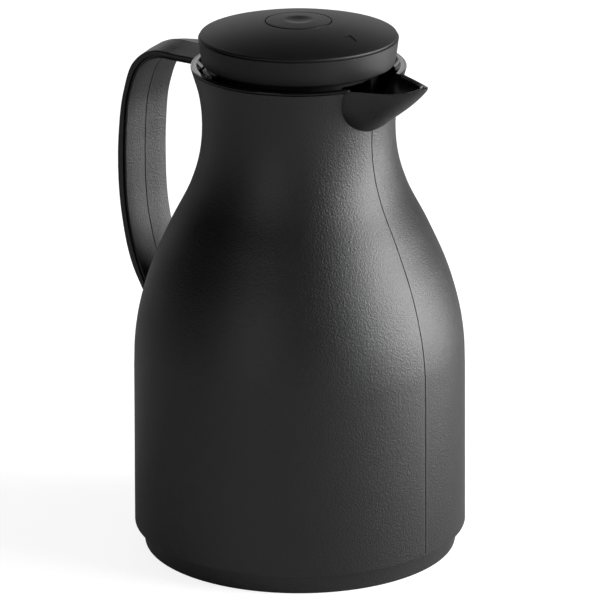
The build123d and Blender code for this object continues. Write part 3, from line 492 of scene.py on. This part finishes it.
# ---- neck collar: flange ring, funnel, thread bore, seat and the spout's liner -------------------
FLANGE_R, FLANGE_LOW_Z, FLANGE_TOP_Z = 46.4, 215.75, 216.9
FLANGE_LOW_ROUND, FLANGE_TOP_ROUND = 0.35, 0.45
FLANGE_STEP = 0.9                           # how far the flange stands out over what carries it
FLANGE_LINE = [(0.75, 0.0), (0.85, 0.14), (0.95, 0.06)]     # distance from its edge, and depth
MOUTH_R, MOUTH_ROUND = 43.75, 0.5
FUNNEL_TOP = (41.7, 214.4)
COLLAR_INSET = 2.8
COLLAR_WALL = 1.7
COLLAR_FOOT_R = 39.1
BORE_R, BORE_TOP_Z = 36.5, 202.2
BORE_LEDGE, BORE_CHAMFER = 2.2, 0.4
SEAT_R, SEAT_Z, SEAT_BOTTOM_Z = 30.2, 192.0, 189.8
SEAT_CHAMFER = 0.3
LINER_FLOOR_Z = 203.4
LINER_GAP = 0.2                             # between the liner and the spout's wall
LINER_SUNK = 0.3                            # how deep the liner's cut end goes into the funnel


def funnel_outline():
    """Inside of the collar from the bore's top to the mouth."""
    walls = casing_part(COLLAR_INSET + COLLAR_WALL, BORE_TOP_Z, FUNNEL_TOP[1])
    mouth = arc((MOUTH_R + MOUTH_ROUND, FLANGE_TOP_Z - MOUTH_ROUND), MOUTH_ROUND, 155, 90, 4)
    return walls + [FUNNEL_TOP] + mouth


def build_collar():
    """The collar with the liner of the spout's trough and the ridges that the plug screws into."""
    neck_side = [(COLLAR_FOOT_R, SEAT_BOTTOM_Z)] + casing_part(COLLAR_INSET, SEAT_BOTTOM_Z, NECK_TOP[1])
    neck_side += [(NECK_TOP[0] - COLLAR_INSET, NECK_TOP[1])]
    flange = [(FLANGE_R - FLANGE_STEP, NECK_TOP[1]), (FLANGE_R - FLANGE_STEP, FLANGE_LOW_Z)]
    flange += arc((FLANGE_R - FLANGE_LOW_ROUND, FLANGE_LOW_Z + FLANGE_LOW_ROUND), FLANGE_LOW_ROUND,
                  -90, 0, 4)
    flange += arc((FLANGE_R - FLANGE_TOP_ROUND, FLANGE_TOP_Z - FLANGE_TOP_ROUND), FLANGE_TOP_ROUND, 0, 90)
    flange += [(FLANGE_R - inward, FLANGE_TOP_Z - down) for inward, down in FLANGE_LINE]
    bore = [(BORE_R + BORE_LEDGE, BORE_TOP_Z), (BORE_R + BORE_CHAMFER, BORE_TOP_Z),
            (BORE_R, BORE_TOP_Z - BORE_CHAMFER), (BORE_R, SEAT_Z)]
    seat = [(SEAT_R + SEAT_CHAMFER, SEAT_Z), (SEAT_R, SEAT_Z - SEAT_CHAMFER), (SEAT_R, SEAT_BOTTOM_Z)]
    ring = turned(neck_side + flange + funnel_outline()[::-1] + bore + seat)
    outset = SPOUT_WALL + LINER_GAP
    liner = spout_solid(outset, -RIM_DROP, LINER_FLOOR_Z - LINER_WALL, RIM_SLOPE)
    funnel = turned([(0, BORE_TOP_Z), (BORE_R + BORE_LEDGE - LINER_SUNK, BORE_TOP_Z)]
                    + funnel_outline()[:-1] + [(MOUTH_R, OPEN_TOP_Z), (0, OPEN_TOP_Z)])
    ring = combined(ring, combined(liner, funnel, "DIFFERENCE"), "UNION")
    trough = spout_solid(outset + LINER_WALL, 2 * CUT_CLEARANCE, LINER_FLOOR_Z)
    ring = combined(ring, trough, "DIFFERENCE")
    ring = with_ridges(ring, BORE_R, False, THREAD_START_Z, 0)
    piece(ring, "collar", "vessel", glossy_black, "collar_black", "neck_collar")


# ---- lid cap -------------------------------------------------------------------------------------
LID_R, LID_EDGE_Z, DOME_TOP_Z = 43.05, 230.1, 236.9
LID_WALL = 2.0
DOME_RADIUS = (LID_R ** 2 + (DOME_TOP_Z - LID_EDGE_Z) ** 2) / (2 * (DOME_TOP_Z - LID_EDGE_Z))
DOME_END_R = 41.4
# the rounding at the dome's end, and its middle's distance from the axis and down from the dome
LID_ROUND, LID_ROUND_R, LID_ROUND_DROP = 0.85, 41.65, 0.82
LID_STEP = [(42.35, 229.55), (42.35, 229.4)]            # the fine step between the dome and the skirt
LID_SKIRT = [(42.75, 229.3), (LID_R, 229.0), (42.1, 221.6)]
LID_HEM = ((40.85, 218.85), 0.75)           # middle and radius of the rounding under the skirt
# inside of the skirt from the hem up, with the groove that the plug's deck snaps into
LID_INSIDE = [(39.75, 218.1), (39.6, 218.4), (39.2, 218.8), (39.2, 219.3), (39.75, 219.5), (40.0, 221.75),
              (38.4, 221.75), (38.4, 223.15), (40.2, 223.15), (41.0, 228.2)]
UNDER_DOME_R = 40.4
GUIDE_R, GUIDE_END_Z, GUIDE_ROUND = 16.0, 226.9, 0.2    # the tube under the dome that guides the button
BUTTON_HOLE_R, BUTTON_R = 14.4, 14.0
HOLE_CHAMFER = 0.3
POINTER = [(27.3, -2.4), (33.6, 0.0), (27.3, 2.4)]      # (x, y) of the arrow's corners
POINTER_MIDDLE_R, POINTER_DEPTH = 30.45, 0.25


def dome_z(r, down=0.0):
    """Height of the dome at a distance r from the axis, or of the face that lies down beneath it."""
    return DOME_TOP_Z - DOME_RADIUS + math.sqrt((DOME_RADIUS - down) ** 2 - r ** 2)


def dome(start_r, end_r, steps, down=0.0):
    """Points along the dome, or along the face that lies down beneath it."""
    radii = [start_r + (end_r - start_r) * i / steps for i in range(steps + 1)]
    return [(r, dome_z(r, down)) for r in radii]


def build_lid():
    """The cap that turns with the plug, with an arrow sunk into its dome."""
    top = [(BUTTON_HOLE_R, dome_z(BUTTON_HOLE_R) - HOLE_CHAMFER)]
    top += dome(BUTTON_HOLE_R + HOLE_CHAMFER, DOME_END_R, 40)
    edge = arc((LID_ROUND_R, dome_z(LID_ROUND_R) - LID_ROUND_DROP), LID_ROUND, 72, 0) + LID_STEP
    skirt = LID_SKIRT + arc(*LID_HEM, 0, -90)
    under = dome(UNDER_DOME_R, GUIDE_R + GUIDE_ROUND, 20, LID_WALL)
    under += [(GUIDE_R, dome_z(GUIDE_R, LID_WALL) - 2 * GUIDE_ROUND), (GUIDE_R, GUIDE_END_Z),
              (BUTTON_HOLE_R, GUIDE_END_Z)]
    lid = turned(top + edge + skirt + LID_INSIDE + under)
    tilt = math.asin(sum(x for x, _ in POINTER) / len(POINTER) / DOME_RADIUS)
    middle = Vector((POINTER_MIDDLE_R, 0, dome_z(POINTER_MIDDLE_R)))
    lean = Matrix.Rotation(tilt, 3, "Y")
    prism = [[middle + lean @ Vector((x - POINTER_MIDDLE_R, y, up)) for x, y in POINTER]
             for up in (-POINTER_DEPTH, CUT_CLEARANCE)]
    lid = combined(lid, lofted(prism), "DIFFERENCE")
    piece(lid, "lid_dome", "stopper", satin_black, "casing_black", "lid_cap")


# ---- push button ---------------------------------------------------------------------------------
BUTTON_SKIRT_R, BUTTON_SKIRT_END_Z = 12.4, 227.9        # its inside, and where it ends
BUTTON_ROUND = 0.3
PLUNGER_R, PLUNGER_HOLLOW_R, PLUNGER_END_Z = 8.2, 6.0, 220.8
BOSS_R, BOSS_END_Z = 4.0, 224.2             # the tube round the stem
STEM_R, STEM_TOP_Z = 2.5, 233.7
DIMPLE_R, DIMPLE_DEPTH, DIMPLE_STEPS = 6.6, 0.75, 12
TOOTH_COUNT, TOOTH_DEPTH, TOOTH_TAPER = 8, 1.0, 0.6
NOTCH_BELOW, NOTCH_INSIDE, NOTCH_OUTSIDE = 0.2, 0.5, 1.0    # how far a notch's cut stands out of it


def with_teeth(body):
    """body with shallow radial notches in the plunger's end, which turn the latch's rotor."""
    half = math.pi * PLUNGER_R / TOOTH_COUNT / 2
    notch = [(-half, -NOTCH_BELOW), (half, -NOTCH_BELOW), (half - TOOTH_TAPER, TOOTH_DEPTH),
             (TOOTH_TAPER - half, TOOTH_DEPTH)]
    for i in range(TOOTH_COUNT):
        turn = Matrix.Rotation(2 * math.pi / TOOTH_COUNT * i, 3, "Z")
        rings = [[turn @ Vector((r, y, PLUNGER_END_Z + up)) for y, up in notch]
                 for r in (PLUNGER_HOLLOW_R - NOTCH_INSIDE, PLUNGER_R + NOTCH_OUTSIDE)]
        body = combined(body, lofted(rings), "DIFFERENCE")
    return body


def build_button():
    """The button with its thumb dimple, skirt, plunger and the tube that holds the stem."""
    shares = [i / DIMPLE_STEPS for i in range(DIMPLE_STEPS + 1)]
    top = [(DIMPLE_R * s, dome_z(DIMPLE_R) - DIMPLE_DEPTH * (1 - s ** 2) ** 1.5) for s in shares]
    top += dome(DIMPLE_R + 0.4, BUTTON_R - 0.35, 10)
    edge = arc((BUTTON_R - BUTTON_ROUND, dome_z(BUTTON_R) - BUTTON_ROUND), BUTTON_ROUND, 80, 0, 4)
    under = [(BUTTON_R, BUTTON_SKIRT_END_Z), (BUTTON_SKIRT_R, BUTTON_SKIRT_END_Z),
             (BUTTON_SKIRT_R, STEM_TOP_Z), (PLUNGER_R, STEM_TOP_Z), (PLUNGER_R, PLUNGER_END_Z),
             (PLUNGER_HOLLOW_R, PLUNGER_END_Z), (PLUNGER_HOLLOW_R, STEM_TOP_Z), (BOSS_R, STEM_TOP_Z),
             (BOSS_R, BOSS_END_Z), (STEM_R, BOSS_END_Z), (STEM_R, STEM_TOP_Z), (0, STEM_TOP_Z)]
    button = with_teeth(turned(top + edge + under))
    piece(button, "thumb_button", "button", satin_black, "casing_black", "push_button")


# ---- base plate ----------------------------------------------------------------------------------
PLATE_Z, PLATE_TOP_Z = 1.6, 4.0             # the plate between its pad and the ring that it stands on
PAD_R = 20.0                                # the flat pad in the middle of its underside
FOOT_RING = [(62.85, PLATE_Z), (62.85, 0.3), (63.15, 0), (68.05, 0)]
FOOT_ROUND = ((68.3, 0.55), 0.55)           # middle and radius of its outer rounding
FOOT_SIDE = [(70.5, 8.9), (70.1, 9.2), (68.9, 9.25), (68.5, BASE_STEP_Z), (68.3, BASE_STEP_Z)]
SNAP_BEAD = [(68.3, 14.2), (69.0, 14.9), (68.3, 15.6)]
SOCKET_RING = [(68.3, 20.4), (66.1, 20.4), (66.1, PLATE_TOP_Z)]
TIP_CUP = [(19.0, PLATE_TOP_Z), (19.0, 12.0), (17.0, 12.0), (17.0, PLATE_TOP_Z)]


def build_base():
    """The base plate, which the carafe stands on and which holds the flask up."""
    underside = [(0, 0), (PAD_R, 0), (PAD_R, PLATE_Z)] + FOOT_RING + arc(*FOOT_ROUND, -80, 5)
    outline = underside + FOOT_SIDE + SNAP_BEAD + SOCKET_RING + TIP_CUP + [(0, PLATE_TOP_Z)]
    piece(turned(outline), "foot", "vessel", grained_black, "casing_black", "base_plate")


# ---- vacuum flask --------------------------------------------------------------------------------
GLASS = 1.5
FLASK_R, FLASK_NECK_R, FLASK_MOUTH_R = 60.5, 35.5, 29.0
FLASK_BOTTOM_Z, FLASK_SIDE_Z, FLASK_SHOULDER_Z, FLASK_NECK_Z = 21.0, 46.0, 114.0, 166.0
FLASK_RIM_Z, FLASK_TOP_Z = 184.8, 186.8     # the outer bottle's end, and the rim that joins the two
FLASK_CHAMFER = 0.6
VACUUM_GAP = 5.0
NIPPLE = [(0, 14.0), (1.0, 14.1), (1.3, 14.6), (3.6, 21.1)]     # where the glass was sealed off
NIPPLE_ROOT_R = 6.0
BOTTLE_STEPS = 24


def bottle(inset, neck_r, top_z):
    """Outline of a bottle from the middle of its bottom to its mouth."""
    side_r, deep = FLASK_R - inset, FLASK_SIDE_Z - FLASK_BOTTOM_Z - inset
    turns = [math.pi / 2 * i / BOTTLE_STEPS for i in range(BOTTLE_STEPS + 1)]
    bottom = [(side_r * math.sin(a), FLASK_SIDE_Z - deep * math.cos(a)) for a in turns]
    rise = FLASK_NECK_Z - FLASK_SHOULDER_Z
    shares = [i / BOTTLE_STEPS for i in range(BOTTLE_STEPS + 1)]
    shoulder = [(side_r + (neck_r - side_r) * (3 * t**2 - 2 * t**3), FLASK_SHOULDER_Z + rise * t)
                for t in shares]
    return bottom + shoulder + [(neck_r, top_z)]


def build_flask():
    """The two glass bottles, one in the other, which meet at the rim."""
    outside = [(r, z) for r, z in bottle(0, FLASK_NECK_R, FLASK_RIM_Z) if r > NIPPLE_ROOT_R]
    outer = NIPPLE + outside + bottle(GLASS, FLASK_NECK_R - GLASS, FLASK_RIM_Z)[::-1]
    piece(turned(outer), "outer_bottle", "vessel", mirror_glass, "mirror_glass", "flask_outer")
    gap = GLASS + VACUUM_GAP
    rim = [(FLASK_NECK_R, FLASK_RIM_Z), (FLASK_NECK_R, FLASK_TOP_Z - FLASK_CHAMFER),
           (FLASK_NECK_R - FLASK_CHAMFER, FLASK_TOP_Z), (FLASK_MOUTH_R + FLASK_CHAMFER, FLASK_TOP_Z),
           (FLASK_MOUTH_R, FLASK_TOP_Z - FLASK_CHAMFER)]
    inner = bottle(gap, FLASK_MOUTH_R + GLASS, FLASK_RIM_Z)
    inner += rim + bottle(gap + GLASS, FLASK_MOUTH_R, FLASK_RIM_Z)[::-1]
    piece(turned(inner), "inner_bottle", "vessel", mirror_glass, "mirror_glass", "flask_inner")


# ---- seals ---------------------------------------------------------------------------------------
# the mouth's gasket sits on the flask's rim and laps over its edge
MOUTH_GASKET = [(SEAT_R, FLASK_TOP_Z), (35.7, FLASK_TOP_Z), (35.7, FLASK_RIM_Z), (37.3, FLASK_RIM_Z),
                (37.3, 189.4), (36.9, SEAT_BOTTOM_Z), (SEAT_R, SEAT_BOTTOM_Z)]
STOPPER_GASKET = rounded_box(29.9, 34.0, 192.3, 194.2, 0.4, 4)
VALVE_GASKET = [(3.5, 192.6), (13.7, 192.6), (14.0, 192.9), (14.0, 193.7), (13.7, 194.0), (3.5, 194.0)]
STEM_GASKET = [(2.55, 209.0), (4.3, 209.0), (4.7, 209.4), (4.7, 210.2), (4.3, 210.6), (2.55, 210.6)]


def build_seals():
    """The silicone rings of the mouth, the stopper, the valve and the stem."""
    piece(turned(MOUTH_GASKET), "mouth_gasket", "vessel", silicone, "seal_silicone", "mouth_seal")
    piece(turned(STOPPER_GASKET), "stopper_gasket", "seal", silicone, "seal_silicone", "stopper_seal")
    valve_ring, stem_ring = turned(VALVE_GASKET, FINE_AROUND), turned(STEM_GASKET, FINE_AROUND)
    piece(valve_ring, "valve_gasket", "button", silicone, "seal_silicone", "valve_seal")
    piece(stem_ring, "stem_gasket", "stopper", silicone, "seal_silicone", "stem_seal")


# ---- valve and stem ------------------------------------------------------------------------------
SCREW_HOLE_R, SCREW_HOLE_END_Z = 1.2, 199.6
VALVE_TOP_Z = 192.6
VALVE_PLATE = [(1.4, 190.8), (14.0, 190.8), (14.5, 191.3), (14.5, 192.1), (14.0, VALVE_TOP_Z),
               (1.4, VALVE_TOP_Z)]
STEM_CHAMFER = 0.5


def build_valve():
    """The plate that closes the port, and the steel stem that the button pushes it down by."""
    plate = turned(VALVE_PLATE, FINE_AROUND)
    piece(plate, "valve_plate", "button", smooth_black, "stopper_black", "valve_disc")
    stem = [(0, SCREW_HOLE_END_Z), (SCREW_HOLE_R, SCREW_HOLE_END_Z), (SCREW_HOLE_R, VALVE_TOP_Z),
            (STEM_R, VALVE_TOP_Z), (STEM_R, STEM_TOP_Z - STEM_CHAMFER),
            (STEM_R - STEM_CHAMFER, STEM_TOP_Z), (0, STEM_TOP_Z)]
    piece(turned(stem, FINE_AROUND), "stem", "button", stainless, "stainless", "valve_stem")


# ---- return spring -------------------------------------------------------------------------------
SPRING_R, SPRING_WIRE, SPRING_TURNS = 6.6, 0.8, 4
SPRING_FOOT_Z, SPRING_TOP_Z = 209.2, 216.9
SPRING_STEPS = 32                           # in each turn


def build_spring():
    """The coil under the button, as it stands while the button is up."""
    rise = SPRING_TOP_Z - SPRING_FOOT_Z - SPRING_WIRE
    wire = arc((SPRING_R, SPRING_FOOT_Z + SPRING_WIRE / 2), SPRING_WIRE / 2, 0, 330, 11)
    coil = coiled(wire, 0, SPRING_TURNS, rise, SPRING_STEPS * SPRING_TURNS)
    spring = piece(coil, "coil_spring", "stopper", stainless, "stainless", "return_spring")
    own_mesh(spring)


# ---- stopper plug --------------------------------------------------------------------------------
PLUG_R, PLUG_WALL = 34.2, 2.0
PLUG_FLOOR_Z, PLUG_FLOOR_TOP_Z = 194.3, 196.7
PLUG_LIP = [(27.6, PLUG_FLOOR_Z), (27.6, 190.0), (27.9, 189.7), (29.3, 189.7), (29.6, 190.0),
            (29.6, PLUG_FLOOR_Z)]           # the ring under its floor that holds the gasket
DECK_R, DECK_Z, DECK_TOP_Z = 39.6, 219.7, 221.7
WELL_R, WELL_WALL, WELL_INSIDE_Z, WELL_FLOOR_Z = 12.8, 1.8, 209.0, 207.0
STEM_HOLE_R = 2.8
PORT_R = 11.5
WINDOW_COUNT, WINDOW_WIDTH, WINDOW_CORNER = 6, 19.0, 1.0
WINDOW_Z = (203.0, 214.5)
PLUG_RIDGE_ANGLE, PLUG_RIDGE_DROP = 33, 1.8     # its ridges lie so far round and under the collar's


def build_plug():
    """The hollow plug, with windows that the drink runs out through and ridges that hold it down."""
    inside_r, well_r = PLUG_R - PLUG_WALL, WELL_R + WELL_WALL
    outline = [(PORT_R, PLUG_FLOOR_Z)] + PLUG_LIP
    outline += [(PLUG_R, PLUG_FLOOR_Z), (PLUG_R, DECK_Z), (DECK_R, DECK_Z), (DECK_R, DECK_TOP_Z),
                (WELL_R, DECK_TOP_Z), (WELL_R, WELL_INSIDE_Z), (STEM_HOLE_R, WELL_INSIDE_Z),
                (STEM_HOLE_R, WELL_FLOOR_Z), (well_r, WELL_FLOOR_Z), (well_r, DECK_Z), (inside_r, DECK_Z),
                (inside_r, PLUG_FLOOR_TOP_Z), (PORT_R, PLUG_FLOOR_TOP_Z)]
    plug = turned(outline)
    window = rounded_box(-WINDOW_WIDTH / 2, WINDOW_WIDTH / 2, *WINDOW_Z, WINDOW_CORNER, 3)
    for i in range(WINDOW_COUNT):
        turn = Matrix.Rotation(2 * math.pi / WINDOW_COUNT * i, 3, "Z")
        rings = [[turn @ Vector((x, y, z)) for y, z in window]
                 for x in (inside_r - CUT_CLEARANCE - 0.5, PLUG_R + CUT_CLEARANCE)]
        plug = combined(plug, lofted(rings), "DIFFERENCE")
    start_z = THREAD_START_Z - PLUG_RIDGE_DROP + THREAD_LEAD * PLUG_RIDGE_ANGLE / 360
    plug = with_ridges(plug, PLUG_R, True, start_z, PLUG_RIDGE_ANGLE)
    piece(plug, "plug", "stopper", smooth_black, "stopper_black", "stopper_plug")


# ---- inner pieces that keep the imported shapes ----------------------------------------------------
HIDDEN_FINISHES = {"vacuum_spacers": fibre, "shoulder_cushion": foam, "tip_cushion": foam,
                   "latch_guide": acetal, "latch_rotor": acetal, "valve_screw": stainless}


def finish_hidden_nodes():
    """Gives the small inner pieces their materials."""
    for name, material in HIDDEN_FINISHES.items():
        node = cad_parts[name]
        node.data.materials.clear()
        node.data.materials.append(material)
        for face in node.data.polygons:
            face.material_index = 0


for build in (build_casing, build_handle, build_collar, build_lid, build_button, build_base,
              build_flask, build_seals, build_valve, build_spring, build_plug, finish_hidden_nodes):
    build()


# ---- camera --------------------------------------------------------------------------------------
CAMERA_AZIMUTH, CAMERA_HEIGHT, CAMERA_ROLL = 41.92, 18.498, -0.188      # degrees
CAMERA_DISTANCE_MM = 1960.7
AIM_MM = (0.21, 0.19, 110.13)
LENS_MM, SENSOR_MM = 269.43, 36.0
FARTHEST_SEEN = 50.0                        # metres


def outward(azimuth, height):
    """Unit vector towards a direction round the axis and above the floor, in degrees."""
    a, h = math.radians(azimuth), math.radians(height)
    return Vector((math.sin(a) * math.cos(h), -math.cos(a) * math.cos(h), math.sin(h)))


def facing(back):
    """Turn of a lamp or a camera that has its back to that direction."""
    return back.to_track_quat("Z", "Y").to_matrix().to_4x4()


def place_camera():
    """The camera that the view of the whole carafe is taken with."""
    back = outward(CAMERA_AZIMUTH, CAMERA_HEIGHT)
    camera = bpy.data.objects.new("camera", bpy.data.cameras.new("camera"))
    camera.data.lens, camera.data.sensor_width = LENS_MM, SENSOR_MM
    camera.data.clip_end = FARTHEST_SEEN
    turn = facing(back) @ Matrix.Rotation(math.radians(CAMERA_ROLL), 4, "Z")
    camera.matrix_world = Matrix.Translation((Vector(AIM_MM) + back * CAMERA_DISTANCE_MM) * MM) @ turn
    bpy.context.scene.collection.objects.link(camera)
    bpy.context.scene.camera = camera


# ---- studio --------------------------------------------------------------------------------------
# each lamp's direction round the axis and above the floor in degrees, its distance, its width and
# height in metres, and its watts
LAMPS = {
    "key_lamp": ((120.0, 21.0), 1.8, (1.3, 0.9), 43.0),
    "low_lamp": ((137.0, -2.0), 0.75, (0.6, 0.2), 3.4),
    "back_lamp": ((226.0, 16.0), 2.2, (2.5, 0.8), 7.5),
    "fill_lamp": ((10.0, 16.0), 2.0, (0.9, 1.2), 3.5),
}
LAMP_AIM_Z = 0.11               # metres above the floor, about half way up the carafe
FLOOR_SIZE = 14.0               # metres
FLOOR_DROP_MM = 0.1             # it lies just under the foot, so that their faces don't coincide
FLOOR_COLOURS = ("#b6b6b5", "#b9b9b8")
FLOOR_PATCH = 2 / 3             # metres across its faint patches
FLOOR_GLOW_SEEN = 0.84          # what the floor adds to its lit surface for the eye, up to white
FLOOR_GLOW_MIRRORED = 0.04      # and in reflections, which meet the brighter floor near the lamps
FILL_STRENGTH = 0.15            # the world's even light on the object
SKYLINE = 0.02                  # sine of the height at which a reflected white horizon ends
WHITE = (1, 1, 1, 1)


def hang_lamps():
    """The area lamps, which all face the carafe and are hidden from the camera."""
    middle = Vector((0, 0, LAMP_AIM_Z))
    for name, (direction, distance, (width, height), watts) in LAMPS.items():
        data = bpy.data.lights.new(name, "AREA")
        data.shape, data.size, data.size_y, data.energy = "RECTANGLE", width, height, watts
        lamp = bpy.data.objects.new(name, data)
        away = outward(*direction)
        lamp.matrix_world = Matrix.Translation(middle + away * distance) @ facing(away)
        lamp.visible_camera = False
        bpy.context.scene.collection.objects.link(lamp)


def ray_kinds(tree):
    """One for a ray from the camera, and one for a ray off a glossy surface or through a clear one."""
    path = add_node(tree, "ShaderNodeLightPath")
    mirrored = add_node(tree, "ShaderNodeMath", {"operation": "MAXIMUM"},
                        i0=path.outputs["Is Glossy Ray"], i1=path.outputs["Is Transmission Ray"])
    return path.outputs["Is Camera Ray"], mirrored.outputs[0]


def lay_floor():
    """A pale floor that keeps the carafe's shadow and otherwise shows white."""
    bm = bmesh.new()
    bmesh.ops.create_grid(bm, x_segments=1, y_segments=1, size=FLOOR_SIZE / 2)
    floor = as_object(bm, "floor")
    floor.location.z = -FLOOR_DROP_MM * MM
    material, tree, shader, place = new_material("white_floor")
    shade = add_node(tree, "ShaderNodeTexNoise", Vector=place, Scale=1 / FLOOR_PATCH).outputs["Fac"]
    colour = add_node(tree, "ShaderNodeMix", {"data_type": "RGBA"}, i0=shade,
                      i6=linear(FLOOR_COLOURS[0]), i7=linear(FLOOR_COLOURS[1]))
    seen, mirrored = ray_kinds(tree)
    by_eye = add_node(tree, "ShaderNodeMath", {"operation": "MULTIPLY"}, i0=seen, i1=FLOOR_GLOW_SEEN)
    glow = add_node(tree, "ShaderNodeMath", {"operation": "MULTIPLY_ADD"}, i0=mirrored,
                    i1=FLOOR_GLOW_MIRRORED, i2=by_eye.outputs[0])
    fill_sockets(tree, shader, Base_Color=colour.outputs[2], Roughness=0.9, Specular_IOR_Level=0.1,
                 Emission_Color=WHITE, Emission_Strength=glow.outputs[0])
    floor.data.materials.append(material)


def light_world():
    """An even fill on the object. The eye sees white, and so do reflections near the horizon, which
    are dark above it.
    """
    world = bpy.data.worlds.new("studio")
    bpy.context.scene.world = world
    world.use_nodes = True
    tree = world.node_tree
    seen, mirrored = ray_kinds(tree)
    ray = add_node(tree, "ShaderNodeTexCoord").outputs["Generated"]
    up = add_node(tree, "ShaderNodeSeparateXYZ", Vector=ray).outputs["Z"]
    horizon = add_node(tree, "ShaderNodeMapRange", Value=up, From_Min=0.0, From_Max=SKYLINE,
                       To_Min=1.0, To_Max=0.0)
    unseen = add_node(tree, "ShaderNodeMapRange", Value=mirrored, From_Min=0.0, From_Max=1.0,
                      To_Min=FILL_STRENGTH, To_Max=horizon.outputs["Result"])
    strength = add_node(tree, "ShaderNodeMath", {"operation": "MAXIMUM"}, i0=seen,
                        i1=unseen.outputs["Result"])
    fill_sockets(tree, tree.nodes["Background"], Color=WHITE, Strength=strength.outputs[0])


place_camera()
hang_lamps()
lay_floor()
light_world()
bpy.context.scene.view_settings.view_transform = "Standard"
